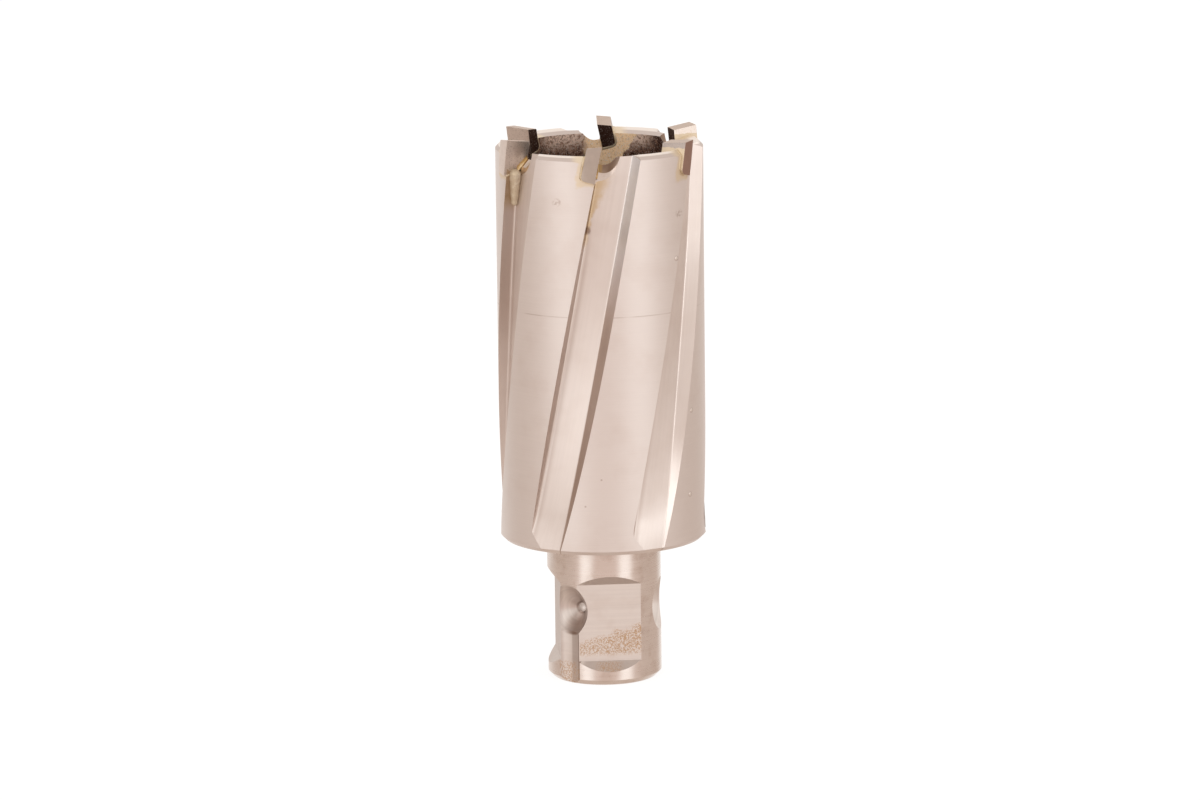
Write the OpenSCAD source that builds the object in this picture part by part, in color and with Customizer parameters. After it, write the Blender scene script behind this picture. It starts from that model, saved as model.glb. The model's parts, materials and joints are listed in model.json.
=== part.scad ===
// Annular cutter: a hollow hole-cutting tool with brazed carbide teeth.
// It stands on the end of its shank with the teeth up. The axis is Z, the
// shank's end face is at z = 0, and angles are taken from the front (-Y)
// towards +X, anticlockwise seen from above.

/* [Shank] */
// Diameter of the shank
shank_d = 19.05; // [18:0.05:22]
// Length of the shank, from its end face to the shoulder
shank_len = 23.95; // [22:0.05:30]
// Chamfer round the shank's end
shank_chamfer = 0.9; // [0.2:0.1:1.2]
// Diameter of the through bore that guides the pilot pin
pilot_d = 6.4; // [5:0.1:7]
// Chamfer at the mouth of the pilot bore
pilot_chamfer = 0.6; // [0.2:0.1:1]

/* [Drive flats] */
// Depth of a clamping flat below the round of the shank
flat_depth = 1.65; // [0.8:0.05:1.8]
// Length of a flat along the shank, without its ramps
flat_len = 13; // [8:0.5:14]
// Height of the middle of a flat above the shank's end
flat_mid_z = 10.5; // [9.5:0.1:11]
// Slope of the ramp at each end of a flat, in degrees from the axis
flat_ramp = 45; // [35:1:60]
// Angle of the first flat, in degrees from the front
flat_angle = 5.5; // [-10:0.5:20]

/* [Ball dimples] */
// Height of the dimples' centres above the shank's end
dimple_z = 12.4; // [10:0.1:13]
// Depth of a dimple's cone below the round of the shank
dimple_depth = 4.5; // [3:0.1:5]
// Angle of the first dimple, in degrees from the front
dimple_angle = -39.6; // [-50:0.1:-30]
// Radius of the round point at the bottom of a dimple
dimple_point_r = 0.7; // [0.4:0.1:1]
// Width of the guide groove below the first dimple
groove_w = 4.3; // [3:0.1:5]
// Depth of the guide groove
groove_depth = 0.9; // [0.6:0.1:1.2]

/* [Body] */
// Step from the teeth's outer faces in to the ground body
body_step = 0.45; // [0.2:0.05:0.8]
// Length of the body, from the shoulder to the rim of the lands
body_len = 66.65; // [60:0.05:75]
// Broken edge at the shoulder
shoulder_break = 0.65; // [0.2:0.05:0.8]
// Step from the teeth's inner faces out to the wall of the hollow
core_step = 0.2; // [0.1:0.05:0.4]
// Depth of the hollow below the rim of the lands
core_depth = 54; // [45:0.5:58]
// Bevel in the bottom corner of the hollow
core_bevel = 1.5; // [0.5:0.1:3]
// Chamfer on the outer edge of the lands
land_chamfer = 0.85; // [0.4:0.05:1.2]
// Fall of the lands towards the hollow, in degrees
land_fall = 14; // [5:1:20]

/* [Flutes] */
// Number of teeth and flutes
tooth_count = 6; // [5:1:7]
// Helix angle of the flutes at the body's surface, in degrees
helix_angle = 11.85; // [8:0.05:14]
// Depth of a flute near the teeth
flute_depth = 2; // [1.5:0.05:2.3]
// Angle that the floor of a flute takes up, in degrees
flute_span = 20.6; // [16:0.1:24]
// Lean of the flute's far wall near the teeth, in degrees from the radius
far_lean_top = 22; // [15:1:35]
// Lean of the flute's far wall at the shoulder, in degrees from the radius
far_lean_low = 54; // [40:1:58]
// Radius in the two corners of a flute's floor
flute_corner_r = 0.45; // [0.2:0.05:0.6]
// Height above the shoulder at which the floor starts to lift
lift_len = 43.6; // [30:0.1:50]
// Lift of the floor at the shoulder
lift_rise = 1.9; // [1.2:0.05:1.95]
// Height above the shoulder at which the flute's near side runs out
exit_len = 5.75; // [4:0.05:8]
// Rise of the near side at the shoulder
exit_rise = 0.85; // [0.5:0.05:1]

/* [Gullets] */
// Width of the gullet in front of a tooth
gullet_w = 3.3; // [3:0.1:4]
// Radius in the far corner of a gullet
gullet_r = 2.4; // [1.5:0.1:2.8]
// Slope of a gullet's floor, in degrees down towards the outside
gullet_slope = 50; // [42:1:54]
// Depth of a gullet's floor below the rim, at the hollow's wall
gullet_drop = 1.7; // [1.4:0.05:2.5]

/* [Teeth] */
// Angle of the first tooth's cutting edge, in degrees from the front
tooth_angle = 1.5; // [-5:0.1:5]
// Diameter over the teeth
cut_d = 35.4; // [34.8:0.1:40]
// Diameter inside the teeth
cut_id = 26.8; // [24:0.1:27.2]
// Height of the tips above the rim of the lands
tip_rise = 1.7; // [1.2:0.1:2.2]
// Thickness of a carbide insert
insert_t = 2.35; // [2:0.05:3]
// Height of an insert on its outer face
insert_h = 6.2; // [5:0.1:7]
// Slope of an insert's seat, in degrees down towards the outside
seat_slope = 17; // [12:1:22]
// Radius at the back of an insert's foot
insert_corner_r = 0.7; // [0.5:0.1:1.2]
// Relief of a tooth's top behind the cutting edge, in degrees
top_relief = 4; // [3:1:8]
// Inward fall of the top on the steep-topped teeth, in degrees
steep_fall = 12; // [9:1:16]
// Inward fall of the top on the mild-topped teeth, in degrees
mild_fall = 7; // [5:1:9]
// Inward fall of the top on the low teeth, in degrees
low_fall = 4; // [1:1:5]
// Drop of the low teeth below the tips
low_drop = 0.3; // [0.1:0.05:0.6]

/* [Brazing] */
// Thickness of the brazed seam behind and below an insert
braze_t = 0.3; // [0.15:0.05:0.45]

/* [Hidden] */
$fn = 96;

// Room that a cutting shape gets past the surface it cuts through
over = 1.2;
// Points that round each corner of a flute's floor
corner_steps = 3;
// Flats and dimples round the shank
flat_angles = [flat_angle, flat_angle - 90];
dimple_count = 3;

shank_r = shank_d / 2;
cut_r = cut_d / 2;
cut_ir = cut_id / 2;
body_r = cut_r - body_step;
core_r = cut_ir + core_step;
shoulder_z = shank_len;
rim_z = shank_len + body_len;
tip_z = rim_z + tip_rise;
core_floor_z = rim_z - core_depth;
rim_r = body_r - land_chamfer;
lip_z = rim_z - (rim_r - core_r) * tan(land_fall);

tooth_step = 360 / tooth_count;
twist = tan(helix_angle) / body_r * 180 / PI;
lift_top_z = shoulder_z + lift_len;
exit_top_z = shoulder_z + exit_len;

// Height at which the plane of a tooth's front face holds the radius
seat_z = tip_z - insert_h / 2;
seat_angle = tooth_angle + twist * (seat_z - tip_z);
// Heights of the seat's and the gullet's floors where they would reach the axis
seat_axis_z = tip_z - insert_h + cut_r * tan(seat_slope);
gullet_axis_z = rim_z - gullet_drop + core_r * tan(gullet_slope);

// Point at a radius and an angle from the front
function polar(r, a) = [r * sin(a), -r * cos(a)];

// Points of an arc of radius r that rounds the corner p between from and to
function rounded(from, p, to, r) =
    let (
        u = (from - p) / norm(from - p),
        v = (to - p) / norm(to - p),
        half = acos(u * v) / 2,
        mid = (u + v) / norm(u + v),
        centre = p + mid * r / sin(half),
        start = p + u * r / tan(half) - centre,
        side = sign(u[0] * v[1] - u[1] * v[0]),
        sweep = side * (180 - 2 * half)
    )
    [for (k = [0:corner_steps])
        let (a = -sweep * k / corner_steps)
        centre + [start[0] * cos(a) - start[1] * sin(a), start[0] * sin(a) + start[1] * cos(a)]];

// Angle of the flute's near wall, and how far its floor has lifted, at height z
function near_angle(z) = tooth_angle + twist * (z - tip_z);
function lift(z) = lift_rise * pow(max(0, lift_top_z - z) / lift_len, 2);
function near_rise(z) = exit_rise * max(0, exit_top_z - z) / exit_len;
function far_lean(z) = far_lean_low + (far_lean_top - far_lean_low) * (z - shoulder_z) / body_len;

// Outline of a flute at height z: near wall, floor and leaning far wall
function flute_outline(z) =
    let (
        a = near_angle(z),
        floor_r = body_r - flute_depth + lift(z),
        far_a = a + flute_span,
        near = polar(floor_r + near_rise(z), a),
        far = polar(floor_r, far_a),
        near_top = polar(body_r + over, a),
        wall = (body_r + over - floor_r) / cos(far_lean(z)),
        far_top = far + polar(wall, far_a + far_lean(z))
    )
    concat(
        [near_top],
        rounded(near_top, near, far, flute_corner_r),
        rounded(near, far, far_top, flute_corner_r),
        [far_top]
    );

// Heights at which a flute's outline is taken, closer where it runs out
flute_heights = concat(
    [for (k = [0:4]) shoulder_z - over / 2 + (exit_len + over / 2) * k / 5],
    [for (k = [0:7]) exit_top_z + (lift_top_z - exit_top_z) * k / 8],
    [for (k = [0:6]) lift_top_z + (rim_z + over - lift_top_z) * k / 6]
);

// One flute's cutting shape, swept up the helix through its outlines
module flute() {
    rings = [for (z = flute_heights) [for (p = flute_outline(z)) [p[0], p[1], z]]];
    n = len(rings[0]);
    last = len(rings) - 1;
    sides = [for (k = [0:last - 1], j = [0:n - 1], half = [0, 1])
        let (a = k * n + j, b = k * n + (j + 1) % n)
        half == 0 ? [a, b, b + n] : [a, b + n, a + n]];
    foot = [for (j = [n - 1:-1:0]) j];
    head = [for (j = [0:n - 1]) last * n + j];
    polyhedron(points = [for (ring = rings) each ring], faces = concat(sides, [foot, head]));
}

// Places its children at every tooth
module each_tooth() {
    for (i = [1:tooth_count]) rotate([0, 0, tooth_step * (i - 1)]) children();
}

// Sweeps an outline along a floor that falls outwards through the wall,
// in the leaning plane of a tooth's front face
module along_floor(axis_z, slope, from_r, to_r) {
    rotate([0, 0, seat_angle])
        translate([0, 0, seat_z])
        rotate([0, helix_angle, 0])
        translate([0, 0, axis_z - seat_z])
        rotate([90 + slope, 0, 0])
        translate([0, 0, from_r / cos(slope)])
        linear_extrude(height = (to_r - from_r) / cos(slope))
        children();
}

// Outline of an insert's slot, grown by a seam at the back and the foot
module slot_outline(seam) {
    back = insert_t + seam;
    r = insert_corner_r + seam;
    tall = insert_h * 2;
    translate([-back, r - seam]) square([back, tall]);
    translate([r - back, -seam]) square([back - r, r + over]);
    translate([r - back, r - seam]) circle(r);
}

// Outline of a gullet: open at the tooth, round in its far corner
module gullet_outline() {
    tall = insert_h * 2;
    near = insert_t / 4;
    translate([-near, 0]) square([near + gullet_w - gullet_r, tall]);
    translate([0, gullet_r]) square([gullet_w, tall - gullet_r]);
    translate([gullet_w - gullet_r, gullet_r]) circle(gullet_r);
}

// The turned blank: shank, shoulder, body, falling lands, hollow and pilot bore
module turned_blank() {
    pilot_r = pilot_d / 2;
    rotate_extrude() polygon([
        [pilot_r + pilot_chamfer, 0],
        [shank_r - shank_chamfer, 0],
        [shank_r, shank_chamfer],
        [shank_r, shoulder_z],
        [body_r - shoulder_break, shoulder_z],
        [body_r, shoulder_z + shoulder_break],
        [body_r, rim_z - land_chamfer],
        [rim_r, rim_z],
        [core_r, lip_z],
        [core_r, core_floor_z + core_bevel],
        [core_r - core_bevel, core_floor_z],
        [pilot_r, core_floor_z],
        [pilot_r, pilot_chamfer]
    ]);
}

// A clamping flat's cut, with a ramp at each end
module flat_cut() {
    face_r = shank_r - flat_depth;
    reach = flat_depth + over;
    half = flat_len / 2;
    ramp = reach / tan(flat_ramp);
    translate([0, 0, flat_mid_z])
        rotate([90, 0, -90])
        linear_extrude(height = shank_d, center = true)
        polygon([
            [face_r, -half],
            [face_r + reach, -half - ramp],
            [face_r + reach, half + ramp],
            [face_r, half]
        ]);
}

// A ball dimple's cut: a right-angled cone with a round point
module dimple_cut() {
    reach = dimple_depth + over;
    tip_r = shank_r - dimple_depth;
    translate([0, 0, dimple_z]) rotate([90, 0, 0]) {
        translate([0, 0, tip_r]) cylinder(h = reach, r1 = 0, r2 = reach);
        translate([0, 0, tip_r + dimple_point_r]) sphere(dimple_point_r);
    }
}

// The round guide groove that leads from the shank's end to the first dimple
module groove_cut() {
    edge_r = sqrt(pow(shank_r, 2) - pow(groove_w / 2, 2));
    rise = edge_r - (shank_r - groove_depth);
    groove_r = (pow(groove_w / 2, 2) + pow(rise, 2)) / (2 * rise);
    translate([0, groove_depth - shank_r - groove_r, -over])
        cylinder(h = dimple_z + over, r = groove_r);
}

// The steel body: one turned, fluted and slotted piece
module cutter_body() {
    color([0.84, 0.78, 0.74])
    difference() {
        turned_blank();
        each_tooth() {
            flute();
            along_floor(gullet_axis_z, gullet_slope, core_r - insert_h, body_r - flute_depth + over / 2)
                gullet_outline();
            along_floor(seat_axis_z, seat_slope, cut_ir - over, cut_r + over)
                slot_outline(braze_t);
        }
        for (a = flat_angles) rotate([0, 0, a]) flat_cut();
        for (k = [0:dimple_count - 1])
            rotate([0, 0, dimple_angle + 360 / dimple_count * k]) dimple_cut();
        rotate([0, 0, dimple_angle]) groove_cut();
    }
}

// A tooth's top as [height of its outer end, inward fall].
// Three grinds take turns, so that each tooth cuts its own share of the width.
function tooth_top(i) =
    let (grind = (i - 1) % 3)
    grind == 0 ? [tip_z, steep_fall]
    : grind == 1 ? [tip_z - low_drop, low_fall]
    : [tip_z, mild_fall];

// Everything below a tooth's ground top, which falls away behind its edge
module under_top(i) {
    top = tooth_top(i);
    fall = tan(top[1]);
    rotate([0, 0, tooth_angle])
        translate([0, 0, top[0]])
        rotate([0, -top_relief, 0])
        rotate([90, 0, -90])
        linear_extrude(height = cut_d, center = true)
        polygon([
            [0, -insert_h * 2],
            [cut_r + over, -insert_h * 2],
            [cut_r + over, over * fall],
            [0, -cut_r * fall]
        ]);
}

// The ring that the inserts are ground to, inside and outside
module ground_ring() {
    translate([0, 0, tip_z - insert_h * 1.5])
        difference() {
            cylinder(h = insert_h * 2, r = cut_r);
            translate([0, 0, -over]) cylinder(h = insert_h * 2 + 2 * over, r = cut_ir);
        }
}

// One carbide insert, ground inside, outside and on top
module carbide_tooth(i) {
    color([0.5, 0.46, 0.44])
    rotate([0, 0, tooth_step * (i - 1)])
    intersection() {
        ground_ring();
        along_floor(seat_axis_z, seat_slope, cut_ir - over, cut_r + over)
            slot_outline(0);
        under_top(i);
    }
}

// The brazed seam that fills the slot behind and below an insert
module braze_seam(i) {
    color([0.78, 0.66, 0.42])
    rotate([0, 0, tooth_step * (i - 1)])
    intersection() {
        turned_blank();
        along_floor(seat_axis_z, seat_slope, cut_ir - over, cut_r + over)
            difference() {
                slot_outline(braze_t);
                slot_outline(0);
            }
    }
}

cutter_body();
for (i = [1:tooth_count])
    carbide_tooth(i);
for (i = [1:tooth_count])
    braze_seam(i);
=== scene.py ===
"""Looks of a hollow hole cutter with brazed carbide teeth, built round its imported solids."""

import json
import logging
import math
from collections.abc import Callable, Mapping, Sequence
from dataclasses import dataclass, field
from enum import IntEnum
from typing import Any, Union

import bmesh
import bpy
from bmesh.types import BMEdge, BMesh, BMFace, BMVert
from mathutils import Matrix, Vector, noise


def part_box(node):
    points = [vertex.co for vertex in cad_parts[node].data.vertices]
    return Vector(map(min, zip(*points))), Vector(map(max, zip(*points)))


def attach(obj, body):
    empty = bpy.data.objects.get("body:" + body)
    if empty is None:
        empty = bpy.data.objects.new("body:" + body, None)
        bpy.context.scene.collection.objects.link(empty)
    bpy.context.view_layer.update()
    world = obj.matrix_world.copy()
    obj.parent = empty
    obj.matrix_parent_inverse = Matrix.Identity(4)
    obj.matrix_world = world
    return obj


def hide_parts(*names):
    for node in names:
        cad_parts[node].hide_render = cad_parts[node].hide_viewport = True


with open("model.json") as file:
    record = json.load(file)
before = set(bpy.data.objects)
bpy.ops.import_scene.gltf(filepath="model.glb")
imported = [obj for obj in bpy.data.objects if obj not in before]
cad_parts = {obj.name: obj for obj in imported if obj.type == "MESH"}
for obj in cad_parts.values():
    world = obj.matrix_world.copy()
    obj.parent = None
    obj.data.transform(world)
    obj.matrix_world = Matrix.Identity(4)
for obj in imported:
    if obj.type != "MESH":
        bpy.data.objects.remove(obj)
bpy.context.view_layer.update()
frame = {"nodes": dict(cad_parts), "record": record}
BODY = "root"
LOG = logging.getLogger("cutter")

# Meshes are modelled in millimetres and scaled to metres at the end
METRES_PER_MM = 0.001
MM_PER_METRE = 1 / METRES_PER_MM
DEGREES_PER_RADIAN = math.degrees(1.0)

# Distances in millimetres within which points are one, in fresh shapes and after cuts
TOUCHING = 0.0002
MERGED = TOUCHING * 5

# Turns at an edge past which it is broken or shaded sharp, and below which it is flat
BROKEN_TURN = math.radians(24)
SHARP_TURN = math.radians(30)
FLAT_TURN = math.radians(0.6)

Number = Union[int, float]
Colour = tuple[float, float, float, float]
Pair = tuple[float, float]
Places = tuple[Pair, ...]

WHITE: Colour = (1.0, 1.0, 1.0, 1.0)


class Region(IntEnum):
    """Surfaces of the steel body, as indices of its material slots."""

    LAND = 0
    FLUTE = 1
    SHANK = 2
    MILLED = 3
    CORE = 4
    GULLET = 5


class Facet(IntEnum):
    """Faces of a carbide insert, as indices of its material slots."""

    OUTSIDE = 0
    RAKE = 1
    INSIDE = 2
    CROWN = 3
    BACK = 4


def linear(code: str) -> Colour:
    """Turn a display colour into the linear colour that a shader takes.

    Args:
        code: Six hexadecimal digits for red, green and blue.

    Returns:
        Linear red, green, blue and an alpha of one.
    """
    shares = [int(code[k:k + 2], 16) / 255 for k in (0, 2, 4)]
    red, green, blue = [s / 12.92 if s <= 0.04045 else ((s + 0.055) / 1.055) ** 2.4 for s in shares]
    return (red, green, blue, 1.0)


def polar(radius: float, angle: float, height: float = 0.0) -> Vector:
    """Point at a radius and at an angle in degrees from the front towards +X."""
    turn = math.radians(angle)
    return Vector((radius * math.sin(turn), -radius * math.cos(turn), height))


def angle_of(point: Vector) -> float:
    """Angle of a point in degrees from the front towards +X."""
    return math.degrees(math.atan2(point.x, -point.y))


def spread(start: float, end: float, count: int) -> list[float]:
    """Evenly spread values from start to end, in a number of steps."""
    return [start + (end - start) * k / count for k in range(count + 1)]


def turned_by(angle: float, axis: str) -> Matrix:
    """Rotation by an angle in degrees about a named axis."""
    return Matrix.Rotation(math.radians(angle), 4, axis)


def moved_by(x: float, y: float, z: float) -> Matrix:
    """Translation along the three axes."""
    return Matrix.Translation((x, y, z))


def rounded(before: Vector, tip: Vector, after: Vector, radius: float, steps: int) -> list[Vector]:
    """Round a corner with an arc.

    Args:
        before: Point that the outline comes from.
        tip: The sharp corner.
        after: Point that the outline goes to.
        radius: Radius of the arc.
        steps: Number of chords in the arc.

    Returns:
        Points along the arc, from the side of before to the side of after.
    """
    back = (before - tip).normalized()
    on = (after - tip).normalized()
    half = back.angle(on) / 2
    middle = (back + on).normalized()
    centre = tip + middle * (radius / math.sin(half))
    start = tip + back * (radius / math.tan(half)) - centre
    end = tip + on * (radius / math.tan(half)) - centre
    arms = [start.slerp(end, share, start) for share in spread(0.0, 1.0, steps)]
    return [centre + arm * radius / arm.length for arm in arms]


class Signal:
    """A shader socket that takes part in Python arithmetic."""

    def __init__(self, graph: "Graph", socket: bpy.types.NodeSocket) -> None:
        """Wrap a socket of a graph."""
        self.graph = graph
        self.socket = socket

    def __add__(self, other: "Term") -> "Signal":
        """Sum of two values."""
        return self.graph.math("ADD", self, other)

    def __radd__(self, other: "Term") -> "Signal":
        """Sum with a number on the left."""
        return self.graph.math("ADD", other, self)

    def __sub__(self, other: "Term") -> "Signal":
        """Difference of two values."""
        return self.graph.math("SUBTRACT", self, other)

    def __rsub__(self, other: "Term") -> "Signal":
        """Difference with a number on the left."""
        return self.graph.math("SUBTRACT", other, self)

    def __mul__(self, other: "Term") -> "Signal":
        """Product of two values."""
        return self.graph.math("MULTIPLY", self, other)

    def __rmul__(self, other: "Term") -> "Signal":
        """Product with a number on the left."""
        return self.graph.math("MULTIPLY", other, self)

    def __truediv__(self, other: "Term") -> "Signal":
        """Quotient of two values."""
        return self.graph.math("DIVIDE", self, other)

    def __rtruediv__(self, other: "Term") -> "Signal":
        """Quotient with a number on the left."""
        return self.graph.math("DIVIDE", other, self)

    def __mod__(self, other: "Term") -> "Signal":
        """Remainder that is never negative."""
        return self.graph.math("FLOORED_MODULO", self, other)

    def __rmod__(self, other: "Term") -> "Signal":
        """Remainder with a number on the left."""
        return self.graph.math("FLOORED_MODULO", other, self)

    def __neg__(self) -> "Signal":
        """Value with its sign turned."""
        return self.graph.math("MULTIPLY", self, -1.0)

    def __abs__(self) -> "Signal":
        """Value without its sign."""
        return self.graph.math("ABSOLUTE", self)

    def root(self) -> "Signal":
        """Square root of the value."""
        return self.graph.math("SQRT", self)

    def sine(self) -> "Signal":
        """Sine of the value in radians."""
        return self.graph.math("SINE", self)

    def at_least(self, other: "Term") -> "Signal":
        """The larger of two values."""
        return self.graph.math("MAXIMUM", self, other)

    def at_most(self, other: "Term") -> "Signal":
        """The smaller of two values."""
        return self.graph.math("MINIMUM", self, other)

    def rise(self, low: "Term", high: "Term") -> "Signal":
        """Smooth step from 0 at low to 1 at high, which may lie below low."""
        ends = {"Value": self, "From Min": low, "From Max": high}
        return self.graph.signal("ShaderNodeMapRange", {"interpolation_type": "SMOOTHSTEP"}, ends)


Term = Union[Signal, Number]
Tint = Union[Signal, Colour, str]


class Graph:
    """The node tree of a material or of the world."""

    def __init__(self, owner: Union[bpy.types.Material, bpy.types.World]) -> None:
        """Start an empty tree.

        Args:
            owner: The material or the world that holds it.
        """
        owner.use_nodes = True
        self.owner = owner
        self.tree = owner.node_tree
        self.tree.nodes.clear()

    @classmethod
    def material(cls, name: str) -> "Graph":
        """Start a new material."""
        return cls(bpy.data.materials.new(name))

    def node(self, kind: str, settings: Mapping[str, Any], sockets: Mapping[Any, Any]) -> bpy.types.Node:
        """Add a node.

        Args:
            kind: Blender's name of the node's type.
            settings: Properties of the node, which are set first.
            sockets: Values or signals for the node's inputs, by name or index.

        Returns:
            The new node.
        """
        made = self.tree.nodes.new(kind)
        for name, value in settings.items():
            setattr(made, name, value)
        for name, value in sockets.items():
            if isinstance(value, Signal):
                self.tree.links.new(value.socket, made.inputs[name])
            else:
                made.inputs[name].default_value = value
        return made

    def signal(
        self, kind: str, settings: Mapping[str, Any], sockets: Mapping[Any, Any], output: Any = 0
    ) -> Signal:
        """Add a node and give one of its outputs, by name or index."""
        return Signal(self, self.node(kind, settings, sockets).outputs[output])

    def math(self, operation: str, *terms: Term) -> Signal:
        """Add a Math node for an operation on one or more terms."""
        return self.signal("ShaderNodeMath", {"operation": operation}, dict(enumerate(terms)))

    def vector(self, x: Term, y: Term, z: Term) -> Signal:
        """Join three values to a vector."""
        return self.signal("ShaderNodeCombineXYZ", {}, {0: x, 1: y, 2: z})

    def axes(self, system: str) -> list[Signal]:
        """Split a named system of texture coordinates.

        Args:
            system: Output of Blender's Texture Coordinate node.

        Returns:
            Its x, y and z.
        """
        place = self.signal("ShaderNodeTexCoord", {}, {}, system)
        split = self.node("ShaderNodeSeparateXYZ", {}, {0: place})
        return [Signal(self, socket) for socket in split.outputs]

    def ray(self, kind: str) -> Signal:
        """Tell whether a ray is of a kind, by an output of the Light Path node."""
        return self.signal("ShaderNodeLightPath", {}, {}, kind)

    def noise(self, place: Signal, scale: float, detail: float = 3.0, roughness: float = 0.55) -> Signal:
        """Add a noise pattern about one half, by features per unit, finer layers and their weight."""
        sockets = {"Vector": place, "Scale": scale, "Detail": detail, "Roughness": roughness}
        return self.signal("ShaderNodeTexNoise", {}, sockets)

    def mix(self, share: Term, base: Tint, top: Tint, blend: str = "MIX") -> Signal:
        """Blend two colours.

        Args:
            share: Share of the second colour.
            base: First colour, as a signal, a linear colour or a display code.
            top: Second colour, in the same forms.
            blend: Blender's name of the way that they blend.

        Returns:
            The blended colour.
        """
        first, second = [linear(tint) if isinstance(tint, str) else tint for tint in (base, top)]
        settings = {"data_type": "RGBA", "blend_type": blend}
        return self.signal("ShaderNodeMix", settings, {0: share, 6: first, 7: second}, 2)

    def shade(self, colour: Signal, factor: Signal) -> Signal:
        """Multiply a colour by a brightness."""
        grey = self.signal("ShaderNodeCombineColor", {}, {0: factor, 1: factor, 2: factor})
        return self.mix(1.0, colour, grey, "MULTIPLY")

    def bump(self, height: Signal, depth: float) -> Signal:
        """Turn a height between 0 and 1 into a normal, for a relief of a depth in metres."""
        return self.signal("ShaderNodeBump", {}, {"Strength": 1.0, "Distance": depth, "Height": height})

    def surface(self, inputs: Mapping[str, Any]) -> bpy.types.Material:
        """Close the material with a Principled shader.

        Args:
            inputs: Values or signals for the shader's inputs.

        Returns:
            The finished material.
        """
        shader = self.signal("ShaderNodeBsdfPrincipled", {}, inputs)
        self.node("ShaderNodeOutputMaterial", {}, {0: shader})
        return self.owner


class RoundPlace:
    """Places on the cutter in a shader: point, height, radius and angle about the axis."""

    def __init__(self, graph: Graph) -> None:
        """Read the object's coordinates and turn them into millimetres and radians.

        Args:
            graph: Tree of the material that reads them.
        """
        self.graph = graph
        self.x, self.y, self.z = [axis * MM_PER_METRE for axis in graph.axes("Object")]
        self.point = graph.vector(self.x, self.y, self.z)
        self.radius = (self.x * self.x + self.y * self.y).root()
        self.angle = graph.math("ARCTAN2", self.x, -self.y)

    def level(self, across: float, up: float) -> Signal:
        """Vector for marks that run level round the cutter, with counts per millimetre across and up."""
        return self.graph.vector(self.x * across, self.y * across, self.z * up)

    def behind(self, form: "FluteForm") -> Signal:
        """Measure along the body's surface from the nearest tooth.

        Args:
            form: The flutes and the teeth's places.

        Returns:
            Arc in millimetres from the tooth's front, negative behind it.
        """
        step = math.tau / form.count
        front = math.radians(form.tooth_angle) + (self.z - form.tip_z) * math.radians(form.twist)
        return ((self.angle - front + 1.5 * step) % step - step / 2) * self.radius

    def spot(self, angle: float, z: float, wide: float, tall: float) -> Signal:
        """Distance from a place on the cutter, scaled so that it is one at the edge of an oval.

        Args:
            angle: Angle of the oval's middle in degrees.
            z: Height of the oval's middle.
            wide: Half of the oval's width.
            tall: Half of the oval's height.

        Returns:
            The scaled distance.
        """
        turn = (self.angle - math.radians(angle) + 3 * math.pi) % math.tau - math.pi
        across = turn * self.radius / wide
        up = (self.z - z) / tall
        return (across * across + up * up).root()


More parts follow.
